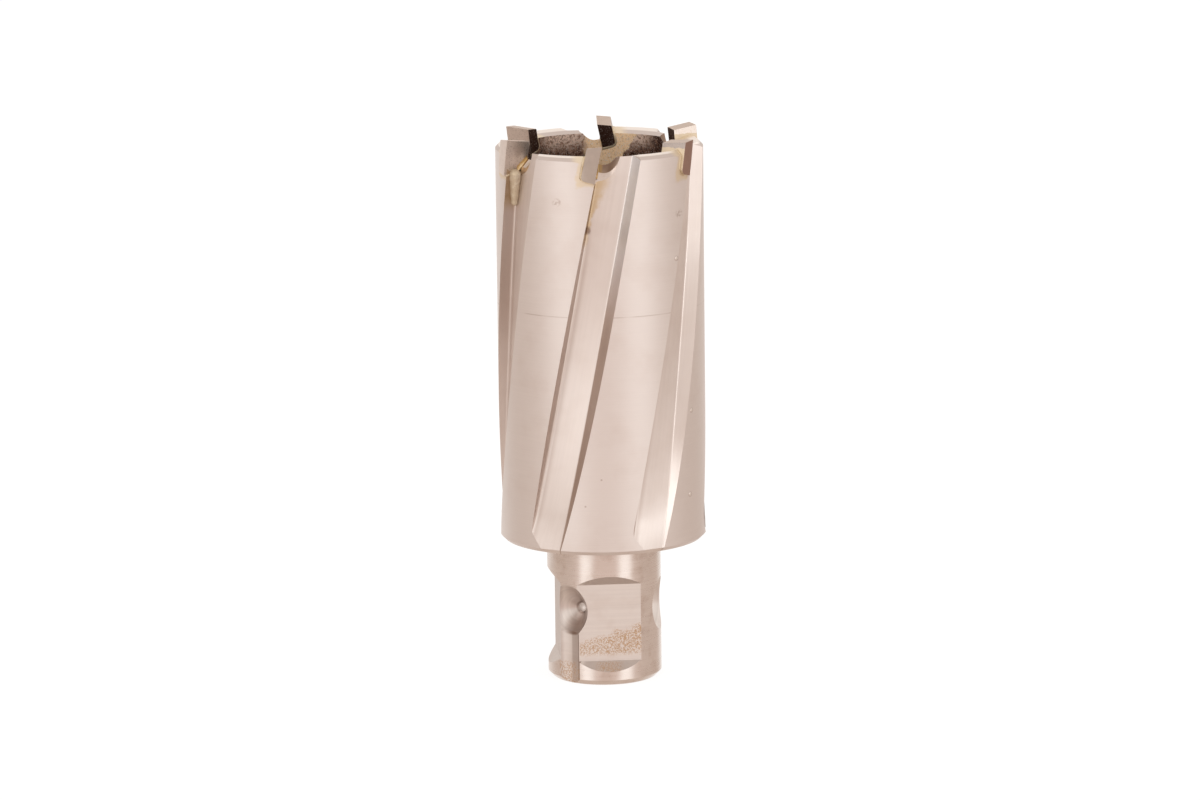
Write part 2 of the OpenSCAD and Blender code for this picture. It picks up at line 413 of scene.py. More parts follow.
@dataclass
class FluteForm:
    """Form of the helical flutes, in millimetres and degrees."""

    body_r: float
    shoulder_z: float
    rim_z: float
    tip_z: float
    count: int = 6
    tooth_angle: float = 1.5
    helix_angle: float = 11.85
    depth: float = 2.0
    span: float = 20.6
    far_lean_top: float = 22.0
    far_lean_low: float = 54.0
    corner_r: float = 0.45
    lift_len: float = 43.6
    lift_rise: float = 1.9
    exit_len: float = 5.75
    exit_rise: float = 0.85
    exit_ease: float = 0.2
    overshoot: float = 1.2
    corner_steps: int = 5
    floor_steps: int = 4
    land_steps: int = 13

    @property
    def twist(self) -> float:
        """Turn of a flute in degrees for each millimetre of height."""
        return math.degrees(math.tan(math.radians(self.helix_angle)) / self.body_r)

    @property
    def step(self) -> float:
        """Angle from one flute to the next."""
        return 360 / self.count

    def near_angle(self, z: float) -> float:
        """Angle of a flute's near wall at a height."""
        return self.tooth_angle + self.twist * (z - self.tip_z)

    def floor_r(self, z: float) -> float:
        """Radius of a flute's floor at its far side."""
        below = max(0.0, self.shoulder_z + self.lift_len - z) / self.lift_len
        return self.body_r - self.depth + self.lift_rise * below ** 2

    def far_lean(self, z: float) -> float:
        """Lean of a flute's far wall from the radius."""
        share = (z - self.shoulder_z) / (self.rim_z - self.shoulder_z)
        return self.far_lean_low + (self.far_lean_top - self.far_lean_low) * share

    def line(self, z: float) -> list[Vector]:
        """Line of one flute at a height.

        Args:
            z: The height.

        Returns:
            Points of the near wall, the floor and the leaning far wall, from
            outside to outside.
        """
        near_a = self.near_angle(z)
        far_a = near_a + self.span
        floor_r = self.floor_r(z)
        share = (self.shoulder_z + self.exit_len - z) / self.exit_len
        near_rise = self.exit_rise * (share + math.hypot(share, self.exit_ease)) / 2
        outside = self.body_r + self.overshoot
        lean = self.far_lean(z)
        near_top = polar(outside, near_a)
        near = polar(floor_r + near_rise, near_a)
        far = polar(floor_r, far_a)
        far_top = far + polar((outside - floor_r) / math.cos(math.radians(lean)), far_a + lean)
        first = rounded(near_top, near, far, self.corner_r, self.corner_steps)
        last = rounded(near, far, far_top, self.corner_r, self.corner_steps)
        floor = [first[-1].lerp(last[0], share) for share in spread(0.0, 1.0, self.floor_steps)[1:-1]]
        return [near_top, *first, *floor, *last, far_top]

    def crossing(self, outer: Vector, inner: Vector) -> Vector:
        """Find where a line comes in through the body's surface.

        Args:
            outer: Point of the line outside the body.
            inner: Point of the line inside it.

        Returns:
            The point on the surface.
        """
        way = inner - outer
        a = way.length_squared
        b = outer.dot(way)
        c = outer.length_squared - self.body_r ** 2
        return outer + way * ((-b - math.sqrt(b * b - a * c)) / a)

    def section(self, z: float) -> list[Vector]:
        """Outline of the fluted body at a height.

        Args:
            z: Height of the section.

        Returns:
            Points in order round the axis. Each height has as many, so that
            sections join up. Points of a flute that lie outside the body
            gather at the edge of the land.
        """
        line = self.line(z)
        inside = [k for k, p in enumerate(line) if p.length < self.body_r]
        first, last = inside[0], inside[-1]
        near_edge = self.crossing(line[first - 1], line[first])
        far_edge = self.crossing(line[last + 1], line[last])
        flute = [near_edge] * first + line[first:last + 1] + [far_edge] * (len(line) - 1 - last)
        turns = spread(angle_of(far_edge), angle_of(near_edge) + self.step, self.land_steps)
        land = [polar(self.body_r, turn) for turn in turns[1:-1]]
        sector = [Vector((p.x, p.y, z)) for p in flute + land]
        return [turned_by(self.step * k, "Z") @ p for k in range(self.count) for p in sector]

    def strips(self) -> list[Region]:
        """Regions of the strips between the points of a section, in order round the axis."""
        flute = len(self.line(self.rim_z)) - 1
        return ([Region.FLUTE] * flute + [Region.LAND] * self.land_steps) * self.count


@dataclass
class Ring:
    """A closed ring of points, with the regions of the strips that lead to it from the ring before."""

    points: list[Vector]
    regions: list[Region]

    @classmethod
    def plain(cls, points: list[Vector], region: Region) -> "Ring":
        """Ring whose strips all belong to one region."""
        return cls(points, [region] * len(points))


def sweep(bm: BMesh, rings: Sequence[Ring]) -> None:
    """Extrude a closed ring of edges through a row of rings.

    Args:
        bm: Mesh that the strips are added to.
        rings: Rings with as many points each, in order.
    """
    points = [bm.verts.new(p) for p in rings[0].points]
    count = len(points)
    edges = [bm.edges.new((points[k], points[(k + 1) % count])) for k in range(count)]
    for ring in rings[1:]:
        made = set(bmesh.ops.extrude_edge_only(bm, edges=edges)["geom"])
        following = []
        for old, place in zip(points, ring.points):
            new = next(e.other_vert(old) for e in old.link_edges if e.other_vert(old) in made)
            new.co = place
            following.append(new)
        points = following
        edges = [bm.edges.get((points[k], points[(k + 1) % count])) for k in range(count)]
        for edge, region in zip(edges, ring.regions):
            edge.link_faces[0].material_index = region


def placed(bm: BMesh, place: Matrix) -> BMesh:
    """Turn a closed mesh's faces outwards and move it.

    Args:
        bm: The closed mesh.
        place: Transform of the finished shape.

    Returns:
        The same mesh.
    """
    bmesh.ops.recalc_face_normals(bm, faces=bm.faces)
    bmesh.ops.transform(bm, matrix=place, verts=bm.verts)
    return bm


def tube(rings: Sequence[Ring], place: Matrix) -> BMesh:
    """Sweep a shape through rings and fill its two ends.

    Args:
        rings: Rings with as many points each, in order.
        place: Transform of the finished shape.

    Returns:
        A closed mesh.
    """
    bm = bmesh.new()
    sweep(bm, rings)
    bmesh.ops.holes_fill(bm, edges=[e for e in bm.edges if e.is_boundary], sides=0)
    return placed(bm, place)


def prism(outline: Sequence[Vector], depth: float, place: Matrix) -> BMesh:
    """Extrude a flat outline.

    Args:
        outline: Corners in the plane of x and y.
        depth: Length of the extrusion along z.
        place: Transform of the finished prism.

    Returns:
        A closed mesh.
    """
    bm = bmesh.new()
    face = bm.faces.new([bm.verts.new((p.x, p.y, 0)) for p in outline])
    made = bmesh.ops.extrude_face_region(bm, geom=[face])["geom"]
    top = [v for v in made if isinstance(v, BMVert)]
    bmesh.ops.translate(bm, vec=(0, 0, depth), verts=top)
    return placed(bm, place)


def lathe(profile: Sequence[tuple[float, float]], segments: int, place: Matrix) -> BMesh:
    """Turn a profile about the z axis.

    Args:
        profile: Pairs of radius and height, from axis to axis.
        segments: Number of steps round the axis.
        place: Transform of the finished shape.

    Returns:
        A closed mesh.
    """
    bm = bmesh.new()
    points = [bm.verts.new((r, 0, z)) for r, z in profile]
    edges = [bm.edges.new(pair) for pair in zip(points, points[1:])]
    bmesh.ops.spin(
        bm, geom=points + edges, cent=(0, 0, 0), axis=(0, 0, 1), angle=math.tau, steps=segments,
        use_merge=True,
    )
    bmesh.ops.remove_doubles(bm, verts=bm.verts, dist=TOUCHING)
    return placed(bm, place)


def linked(name: str, data: bpy.types.ID) -> bpy.types.Object:
    """Add an object to the scene.

    Args:
        name: Name of the object.
        data: Its mesh, lamp or camera.

    Returns:
        The new object.
    """
    made = bpy.data.objects.new(name, data)
    bpy.context.scene.collection.objects.link(made)
    return made


def as_object(bm: BMesh, name: str, finishes: Sequence[bpy.types.Material] = ()) -> bpy.types.Object:
    """Put a mesh in the scene as an object, and free the mesh's editing copy.

    Args:
        bm: The editing copy.
        name: Name of the object.
        finishes: Materials for its slots, in order.

    Returns:
        The new object.
    """
    mesh = bpy.data.meshes.new(name)
    bm.to_mesh(mesh)
    bm.free()
    for finish in finishes:
        mesh.materials.append(finish)
    return linked(name, mesh)


def apply_modifiers(piece: bpy.types.Object) -> None:
    """Replace a piece's mesh by what its modifiers make of it.

    Args:
        piece: The piece, which ends without modifiers.
    """
    bpy.context.view_layer.update()
    graph = bpy.context.evaluated_depsgraph_get()
    mesh = bpy.data.meshes.new_from_object(piece.evaluated_get(graph))
    old = piece.data
    piece.modifiers.clear()
    piece.data = mesh
    bpy.data.meshes.remove(old)


def cut_away(piece: bpy.types.Object, shapes: Sequence[BMesh], region: Region) -> None:
    """Cut shapes out of a piece.

    Args:
        piece: Object that is cut.
        shapes: Closed meshes that don't meet one another.
        region: Region that the new faces belong to.
    """
    joined = bmesh.new()
    for shape in shapes:
        part = bpy.data.meshes.new("cut")
        shape.to_mesh(part)
        shape.free()
        joined.from_mesh(part)
        bpy.data.meshes.remove(part)
    for face in joined.faces:
        face.material_index = region
    cutter = as_object(joined, "cutter_shape", piece.data.materials)
    cut = piece.modifiers.new("cut", "BOOLEAN")
    cut.object = cutter
    cut.operation = "DIFFERENCE"
    cut.solver = "EXACT"
    cut.material_mode = "INDEX"
    apply_modifiers(piece)
    mesh = cutter.data
    bpy.data.objects.remove(cutter)
    bpy.data.meshes.remove(mesh)


def edge_turn(edge: BMEdge) -> float:
    """Angle between the two faces at an edge, or zero at a border."""
    return edge.calc_face_angle(0.0) if len(edge.link_faces) == 2 else 0.0


def edge_height(edge: BMEdge) -> float:
    """Height of an edge's middle."""
    return (edge.verts[0].co.z + edge.verts[1].co.z) / 2


def break_edges(bm: BMesh, chosen: Callable[[BMEdge], bool], width: float, segments: int = 2) -> None:
    """Bevel the edges that a test chooses.

    Args:
        bm: Mesh that is bevelled.
        chosen: Test of an edge.
        width: Distance of the bevel from the edge.
        segments: Number of steps across the bevel.
    """
    edges = [e for e in bm.edges if len(e.link_faces) == 2 and chosen(e)]
    bmesh.ops.bevel(
        bm, geom=edges, offset=width, offset_type="OFFSET", segments=segments, profile=0.5, affect="EDGES",
        clamp_overlap=True, loop_slide=True, material=-1,
    )


def smooth_shaded(piece: bpy.types.Object) -> None:
    """Shade a piece smoothly, with its faces kept flat and its edges and borders between finishes sharp.

    Args:
        piece: The piece that is shaded.
    """
    piece.data.shade_smooth()
    piece.data.set_sharp_from_angle(angle=SHARP_TURN)
    bm = bmesh.new()
    bm.from_mesh(piece.data)
    for edge in bm.edges:
        if len({face.material_index for face in edge.link_faces}) > 1:
            edge.smooth = False
    bm.to_mesh(piece.data)
    bm.free()
    facing = piece.modifiers.new("facing", "WEIGHTED_NORMAL")
    facing.keep_sharp = True
    apply_modifiers(piece)


def settle(piece: bpy.types.Object, slot: str, *nodes: str) -> bpy.types.Object:
    """Shade a piece, scale it to metres, let it stand for solids and ride on the body.

    Args:
        piece: The modelled piece, in millimetres.
        slot: The record's material slot; not used.
        nodes: Solids that the piece stands for.

    Returns:
        The finished piece.
    """
    smooth_shaded(piece)
    piece.data.transform(Matrix.Scale(METRES_PER_MM, 4))
    if nodes:
        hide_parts(*nodes)
    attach(piece, BODY)
    LOG.info("%s: %d faces", piece.name, len(piece.data.polygons))
    return piece


@dataclass
class InsertForm:
    """Form of an insert's slot and of the gullet before it, in millimetres and degrees."""

    thickness: float = 2.35
    height: float = 6.2
    corner_r: float = 0.7
    seat_slope: float = 17.0
    seam: float = 0.3
    gullet_w: float = 3.3
    gullet_r: float = 2.4
    gullet_slope: float = 50.0
    gullet_drop: float = 1.7
    arc_steps: int = 10

    @property
    def cut_h(self) -> float:
        """Height of the outlines, which reach well above the rim."""
        return self.height * 2

    def slot_outline(self) -> list[Vector]:
        """Outline of the slot that holds an insert and its seam.

        Returns:
            Corners in the plane of x, behind the front face, and y, up.
        """
        back = self.thickness + self.seam
        heel = Vector((-back, self.cut_h, 0))
        toe = Vector((0, -self.seam, 0))
        arc = rounded(heel, Vector((-back, -self.seam, 0)), toe, self.corner_r + self.seam, self.arc_steps)
        return [Vector((0, self.cut_h, 0)), heel, *arc, toe]

    def gullet_outline(self) -> list[Vector]:
        """Outline of a gullet, open at the tooth and round in its far corner.

        Returns:
            Corners in the plane of x, before the front face, and y, up.
        """
        near = -self.thickness / 4
        start = Vector((near, 0, 0))
        end = Vector((self.gullet_w, self.cut_h, 0))
        arc = rounded(start, Vector((self.gullet_w, 0, 0)), end, self.gullet_r, self.arc_steps)
        return [Vector((near, self.cut_h, 0)), start, *arc, end]


@dataclass
class CutterBody:
    """The steel body: shank, shoulder, fluted sleeve, core hollow and pilot bore, in millimetres."""

    flutes: FluteForm
    inserts: InsertForm
    shank_r: float
    pilot_r: float
    flat_r: float
    flat_angles: list[float]
    flat_mid_z: float
    dimple_angle: float
    dimple_z: float
    core_r: float = 13.6
    core_depth: float = 54.0
    core_bevel: float = 1.5
    shank_chamfer: float = 0.9
    pilot_chamfer: float = 0.6
    shoulder_break: float = 0.65
    land_chamfer: float = 0.85
    land_fall: float = 14.0
    flat_len: float = 13.0
    dimple_count: int = 3
    dimple_depth: float = 4.5
    dimple_point_r: float = 0.78
    groove_w: float = 4.3
    groove_depth: float = 0.9
    cut_r: float = 17.7
    cut_ir: float = 13.4
    overshoot: float = 1.2
    gullet_edge: float = 0.5
    mouth_inset: float = 0.8
    mouth_gap: float = 0.03
    mouth_shares: tuple[float, ...] = (-0.15, 1.0, 2.4)
    edge_break: float = 0.07
    shoulder_room: float = 0.3
    exit_room: float = 2.0
    rim_room: float = 2.4
    exit_steps: int = 28
    sleeve_steps: int = 48
    bore_steps: int = 12
    shank_steps: int = 8
    point_steps: int = 6
    round_steps: int = 72
    rim_passes: int = 4
    finishes: list[bpy.types.Material] = field(default_factory=list)

    @property
    def cut_top(self) -> float:
        """Height above everything that is cut."""
        return self.flutes.tip_z + self.overshoot

    @property
    def rim_r(self) -> float:
        """Radius at which a land's chamfer meets its falling top."""
        return self.flutes.body_r - self.land_chamfer

    @property
    def core_floor_z(self) -> float:
        """Height of the hollow's floor."""
        return self.flutes.rim_z - self.core_depth

    def top_z(self, radius: float) -> float:
        """Height of the lands' top: a fall to the hollow, and a chamfer outside.

        Args:
            radius: Distance from the axis.

        Returns:
            The height there.
        """
        if radius > self.rim_r:
            return self.flutes.rim_z - (radius - self.rim_r)
        return self.flutes.rim_z - (self.rim_r - radius) * math.tan(math.radians(self.land_fall))

    def on_top(self, point: Vector, radius: float) -> Vector:
        """Point of the lands' top in the direction of another point, at a radius."""
        reach = point.xy.length
        return Vector((point.x * radius / reach, point.y * radius / reach, self.top_z(radius)))

    def sleeve_rings(self) -> list[Ring]:
        """Sections of the fluted sleeve, finer over the flutes' run-outs.

        Returns:
            Rings from the shoulder to below the rim.
        """
        form = self.flutes
        low = form.shoulder_z
        inner = form.body_r - self.shoulder_break
        foot = [p * min(1.0, inner / p.xy.length) for p in form.section(low)]
        for p in foot:
            p.z = low
        fine_end = low + form.exit_len + self.exit_room
        heights = spread(low + self.shoulder_break, fine_end, self.exit_steps)[:-1]
        heights += spread(fine_end, form.rim_z - self.rim_room, self.sleeve_steps)
        return [Ring.plain(foot, Region.SHANK), *[Ring(form.section(z), form.strips()) for z in heights]]

    def rim_rings(self) -> list[Ring]:
        """Rings over the top of the sleeve.

        Returns:
            The sleeve's outer edge, the lands' rim and the lip of the hollow.
        """
        form = self.flutes
        edge = []
        for k in range(len(form.section(form.rim_z))):
            z = form.rim_z
            for _ in range(self.rim_passes):
                p = form.section(z)[k]
                z = self.top_z(p.xy.length)
            edge.append(Vector((p.x, p.y, z)))
        rim = [self.on_top(p, min(p.xy.length, self.rim_r)) for p in edge]
        lip = [self.on_top(p, self.core_r) for p in edge]
        return [Ring(edge, form.strips()), Ring.plain(rim, Region.LAND), Ring.plain(lip, Region.LAND)]

    def hollow_rings(self, lip: Sequence[Vector]) -> list[Ring]:
        """Rings down the hollow.

        Args:
            lip: Points of the hollow's lip.

        Returns:
            Rings from below the lip to the hollow's floor.
        """
        floor_z = self.core_floor_z
        heights = spread(lip[0].z, floor_z + self.core_bevel, self.bore_steps)[1:]
        rings = [[Vector((p.x, p.y, z)) for p in lip] for z in heights]
        share = (self.core_r - self.core_bevel) / self.core_r
        rings.append([Vector((p.x * share, p.y * share, floor_z)) for p in lip])
        return [Ring.plain(points, Region.CORE) for points in rings]

    def turned_rings(self, count: int) -> list[Ring]:
        """Rings of the pilot bore and the shank.

        Args:
            count: Number of points in a ring.

        Returns:
            Rings from the hollow's floor round the shank's end to the shoulder.
        """
        form = self.flutes
        first, last = form.near_angle(form.rim_z), form.near_angle(form.shoulder_z)
        heights = spread(self.core_floor_z, self.pilot_chamfer, self.bore_steps)
        profile = [(self.pilot_r, z, turn) for z, turn in zip(heights, spread(first, last, self.bore_steps))]
        profile += [
            (self.pilot_r + self.pilot_chamfer, 0.0, last),
            (self.shank_r - self.shank_chamfer, 0.0, last),
        ]
        sides = spread(self.shank_chamfer, form.shoulder_z, self.shank_steps)
        profile += [(self.shank_r, z, last) for z in sides]
        rings = []
        for k, (r, z, turn) in enumerate(profile):
            region = Region.CORE if k <= self.bore_steps else Region.SHANK
            rings.append(Ring.plain([polar(r, turn + 360 * j / count, z) for j in range(count)], region))
        return rings

    def blank(self) -> bpy.types.Object:
        """Sweep the turned and fluted body.

        Returns:
            The body before its slots, flats and dimples are cut.
        """
        bm = bmesh.new()
        sleeve = self.sleeve_rings()
        rim = self.rim_rings()
        hollow = self.hollow_rings(rim[-1].points)
        turned = self.turned_rings(len(sleeve[0].points))
        sweep(bm, [*sleeve, *rim, *hollow, *turned, sleeve[0]])
        bmesh.ops.remove_doubles(bm, verts=bm.verts, dist=TOUCHING)
        bmesh.ops.dissolve_degenerate(bm, dist=TOUCHING, edges=bm.edges)
        bmesh.ops.recalc_face_normals(bm, faces=bm.faces)
        return as_object(bm, "cutter_body_dressed", self.finishes)

    def flat_shape(self, angle: float) -> BMesh:
        """Shape that cuts a clamping flat with a ramp at each end.

        Args:
            angle: Angle of the flat from the front.

        Returns:
            A closed mesh.
        """
        reach = self.shank_r - self.flat_r + self.overshoot
        half = self.flat_len / 2
        wide = 2 * math.sqrt(self.shank_r ** 2 - self.flat_r ** 2) + 2 * TOUCHING + self.overshoot
        outline = [
            Vector((self.flat_r, -half, 0)), Vector((self.flat_r + reach, -half - reach, 0)),
            Vector((self.flat_r + reach, half + reach, 0)), Vector((self.flat_r, half, 0)),
        ]
        place = (turned_by(angle, "Z") @ moved_by(0, 0, self.flat_mid_z) @ turned_by(-90, "Z")
                 @ turned_by(90, "X") @ moved_by(0, 0, -wide / 2))
        return prism(outline, wide, place)

    def dimple_shape(self, angle: float) -> BMesh:
        """Shape that cuts a right-angled dimple with a round point.

        Args:
            angle: Angle of the dimple from the front.

        Returns:
            A closed mesh.
        """
        tip = self.shank_r - self.dimple_depth
        reach = self.dimple_depth + self.overshoot
        r = self.dimple_point_r
        turns = [math.radians(a) for a in spread(0.0, 90.0, self.point_steps)]
        point = [(r * math.sin(a), tip + r - r * math.cos(a)) for a in turns]
        profile = [*point, (r, tip + r), (reach, tip + reach), (0.0, tip + reach)]
        place = turned_by(angle, "Z") @ moved_by(0, 0, self.dimple_z) @ turned_by(90, "X")
        return lathe(profile, self.round_steps, place)

    def groove_shape(self) -> BMesh:
        """Shape that cuts the round guide groove below the first dimple.

        Returns:
            A closed mesh.
        """
        edge_r = math.sqrt(self.shank_r ** 2 - (self.groove_w / 2) ** 2)
        rise = edge_r - (self.shank_r - self.groove_depth)
        r = ((self.groove_w / 2) ** 2 + rise ** 2) / (2 * rise)
        low, high = -self.overshoot, self.dimple_z
        place = turned_by(self.dimple_angle, "Z") @ moved_by(0, self.groove_depth - self.shank_r - r, 0)
        return lathe([(0.0, low), (r, low), (r, high), (0.0, high)], self.round_steps, place)

    def rake_frame(self, index: int, foot_z: float = 0.0) -> Matrix:
        """Frame of a tooth's front face.

        Args:
            index: Number of the tooth, from zero.
            foot_z: Height on the axis at which the frame's origin lies, before it leans with the helix.

        Returns:
            Transform with x into the gullet, -y outwards and z up along the helix.
        """
        form = self.flutes
        seat_z = form.tip_z - self.inserts.height / 2
        return (turned_by(form.near_angle(seat_z) + form.step * index, "Z") @ moved_by(0, 0, seat_z)
                @ turned_by(form.helix_angle, "Y") @ moved_by(0, 0, foot_z - seat_z))

    def wall_shape(
        self, index: int, outline: Sequence[Vector], axis_z: float, slope: float, reach: Pair
    ) -> BMesh:
        """Shape that cuts out through the wall along a falling floor.

        Args:
            index: Number of the tooth, from zero.
            outline: Outline of the cut, with its floor at zero.
            axis_z: Height at which the floor would reach the axis.
            slope: Fall of the floor towards the outside, in degrees.
            reach: Radii at which the cut starts and ends.

        Returns:
            A closed mesh.
        """
        longer = math.cos(math.radians(slope))
        start, end = reach
        place = (self.rake_frame(index, axis_z) @ turned_by(90 + slope, "X") @ moved_by(0, 0, start / longer))
        return prism(outline, (end - start) / longer, place)

    def slot_shape(self, index: int) -> BMesh:
        """Shape that cuts the slot of one insert.

        Args:
            index: Number of the tooth, from zero.

        Returns:
            A closed mesh.
        """
        insert = self.inserts
        axis_z = self.flutes.tip_z - insert.height + self.cut_r * math.tan(math.radians(insert.seat_slope))
        reach = (self.cut_ir - self.overshoot, self.cut_r + self.overshoot)
        return self.wall_shape(index, insert.slot_outline(), axis_z, insert.seat_slope, reach)

    def gullet_shape(self, index: int) -> BMesh:
        """Shape that cuts the gullet before one tooth.

        Args:
            index: Number of the tooth, from zero.

        Returns:
            A closed mesh.
        """
        insert = self.inserts
        end = self.flutes.body_r - self.flutes.depth + self.overshoot / 2
        reach = (self.core_r - insert.height, end)
        axis_z = self.gullet_floor_z(0.0)
        return self.wall_shape(index, insert.gullet_outline(), axis_z, insert.gullet_slope, reach)

    def gullet_floor_z(self, radius: float) -> float:
        """Height of a gullet's floor at a radius, in the frame of the front face."""
        fall = math.tan(math.radians(self.inserts.gullet_slope))
        return self.flutes.rim_z - self.inserts.gullet_drop + (self.core_r - radius) * fall

    def mouth_shape(self, index: int) -> BMesh:
        """Shape that eases the edge of a gullet's mouth on the flute's floor.

        Args:
            index: Number of the tooth, from zero.

        Returns:
            A closed mesh.
        """
        insert = self.inserts
        end_r = self.flutes.floor_r(self.flutes.rim_z) * math.cos(math.radians(self.flutes.span / 2))
        start_r = end_r - self.mouth_inset * self.gullet_edge
        start_z, end_z = self.gullet_floor_z(start_r), self.gullet_floor_z(end_r) - self.gullet_edge
        lift = 1 / math.cos(math.radians(insert.gullet_slope))
        rings = []
        for share in self.mouth_shares:
            radius = start_r + (end_r - start_r) * share
            foot = start_z + (end_z - start_z) * share
            wide = 1 + self.gullet_edge * share / insert.gullet_w
            points = [Vector((max(p.x, self.mouth_gap) * wide, -radius, foot + p.y * lift))
                      for p in insert.gullet_outline()]
            rings.append(Ring.plain(points, Region.SHANK))
        return tube(rings, self.rake_frame(index))

    def build(self) -> bpy.types.Object:
        """Make the finished body.

        Returns:
            The dressed object, which stands for the solid of the body.
        """
        piece = self.blank()
        teeth = range(self.flutes.count)
        dimples = [self.dimple_angle + 360 / self.dimple_count * k for k in range(self.dimple_count)]
        cut_away(piece, [self.flat_shape(a) for a in self.flat_angles], Region.MILLED)
        cut_away(piece, [self.dimple_shape(a) for a in dimples], Region.MILLED)
        cut_away(piece, [self.groove_shape()], Region.MILLED)
        cut_away(piece, [self.slot_shape(k) for k in teeth], Region.GULLET)
        cut_away(piece, [self.gullet_shape(k) for k in teeth], Region.GULLET)
        cut_away(piece, [self.mouth_shape(k) for k in teeth], Region.SHANK)
        bm = bmesh.new()
        bm.from_mesh(piece.data)
        bmesh.ops.remove_doubles(bm, verts=bm.verts, dist=MERGED)
        bmesh.ops.dissolve_degenerate(bm, dist=MERGED, edges=bm.edges)
        middle = self.flutes.shoulder_z + self.shoulder_room
        for low, high in ((-self.overshoot, middle), (middle, self.cut_top)):
            break_edges(
                bm, lambda e: edge_turn(e) > BROKEN_TURN and low < edge_height(e) < high, self.edge_break
            )
        bm.to_mesh(piece.data)
        bm.free()
        return settle(piece, "ground_steel", "cutter_body")


def solid_copy(node: str) -> BMesh:
    """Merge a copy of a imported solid.

    Args:
        node: Name of the solid's node.

    Returns:
        A closed mesh in millimetres, with its flat faces whole.
    """
    bm = bmesh.new()
    bm.from_mesh(frame["nodes"][node].data)
    bmesh.ops.scale(bm, vec=(MM_PER_METRE,) * 3, verts=bm.verts)
    bmesh.ops.remove_doubles(bm, verts=bm.verts, dist=MERGED)
    bmesh.ops.dissolve_limit(
        bm, angle_limit=FLAT_TURN, use_dissolve_boundaries=False, verts=bm.verts, edges=bm.edges
    )
    return bm


@dataclass
class CarbideInsert:
    """One carbide insert: a ground block with a honed edge."""

    node: str
    finishes: list[bpy.types.Material]
    hone: float = 0.06
    crown_up: float = 0.75
    side_out: float = 0.8

    def facet_of(self, face: BMFace) -> Facet:
        """Tell the kind of an insert's face by the way that it looks.

        Args:
            face: Face of the insert.

        Returns:
            The facet that it belongs to.
        """
        out = face.calc_center_median().xy.normalized()
        radial = face.normal.xy.dot(out)
        if face.normal.z > self.crown_up:
            return Facet.CROWN
        if abs(radial) > self.side_out:
            return Facet.OUTSIDE if radial > 0 else Facet.INSIDE
        return Facet.RAKE if out.cross(face.normal.xy) > 0 else Facet.BACK

    def build(self) -> bpy.types.Object:
        """Make the insert.

        Returns:
            The dressed object, which stands for its solid.
        """
        bm = solid_copy(self.node)
        for face in bm.faces:
            face.material_index = self.facet_of(face)
        break_edges(bm, lambda e: edge_turn(e) > BROKEN_TURN, self.hone)
        return settle(as_object(bm, f"{self.node}_dressed", self.finishes), "carbide", self.node)


@dataclass
class BrazeSeam:
    """The filler metal round one insert, with a slightly uneven skin."""

    node: str
    finish: bpy.types.Material
    swell: float = 0.09
    even: float = 0.6
    uneven: float = 0.8
    lump: float = 1.3
    cuts: int = 2

    def build(self) -> bpy.types.Object:
        """Make the seam.

        Returns:
            The dressed object, which stands for its solid.
        """
        bm = solid_copy(self.node)
        bmesh.ops.triangulate(bm, faces=bm.faces)
        bmesh.ops.subdivide_edges(bm, edges=bm.edges, cuts=self.cuts, use_grid_fill=True)
        bm.normal_update()
        for vert in bm.verts:
            share = self.even + self.uneven * noise.noise(vert.co / self.lump)
            vert.co += vert.normal * (self.swell * share)
        return settle(as_object(bm, f"{self.node}_dressed", [self.finish]), "braze", self.node)


@dataclass
class GulletFillet:
    """Filler metal that has set in the corner between a tooth's front face and its gullet."""

    body: CutterBody
    index: int
    finish: bpy.types.Material
    wide: float = 0.36
    tall: float = 0.9
    inner_wide: float = 0.55
    inner_tall: float = 0.7
    bulge: float = 0.3
    wall_sink: float = 0.03
    floor_sink: float = 0.05
    inner_gap: float = 0.03
    outer_lip: float = 0.12
    steps: int = 8
    arc: int = 7

    def section(self, radius: float, share: float) -> list[Vector]:
        """Hollow three-cornered section, which spreads towards the outside.

        Args:
            radius: Radius of the section.
            share: Share of the way from the inner end to the outer one.

        Returns:
            Points in the frame of the tooth's front face.
        """
        floor = self.body.gullet_floor_z(radius)
        wide = self.wide * (self.inner_wide + (1 - self.inner_wide) * share)
        tall = self.tall * (self.inner_tall + (1 - self.inner_tall) * share)
        shares = spread(0.0, 1.0, self.arc)
        curve = [(1 - t, t, self.bulge * t * (1 - t)) for t in shares]
        hollow = [(wide * (down ** 2 + lift), tall * (up ** 2 + lift)) for down, up, lift in curve]
        corner = [(-self.wall_sink, tall), (-self.wall_sink, -self.floor_sink), (wide, -self.floor_sink)]
        return [Vector((x, -radius, floor + h)) for x, h in [*hollow, *corner]]

    def build(self) -> bpy.types.Object:
        """Make the fillet.

        Returns:
            The piece, which rides on the body.
        """
        low = self.body.core_r + self.inner_gap
        high = self.body.flutes.floor_r(self.body.flutes.rim_z) + self.outer_lip
        places = zip(spread(low, high, self.steps), spread(0.0, 1.0, self.steps))
        rings = [Ring.plain(self.section(radius, share), Region.LAND) for radius, share in places]
        bm = tube(rings, self.body.rake_frame(self.index))
        return settle(as_object(bm, f"gullet_fillet_{self.index + 1}", [self.finish]), "braze")


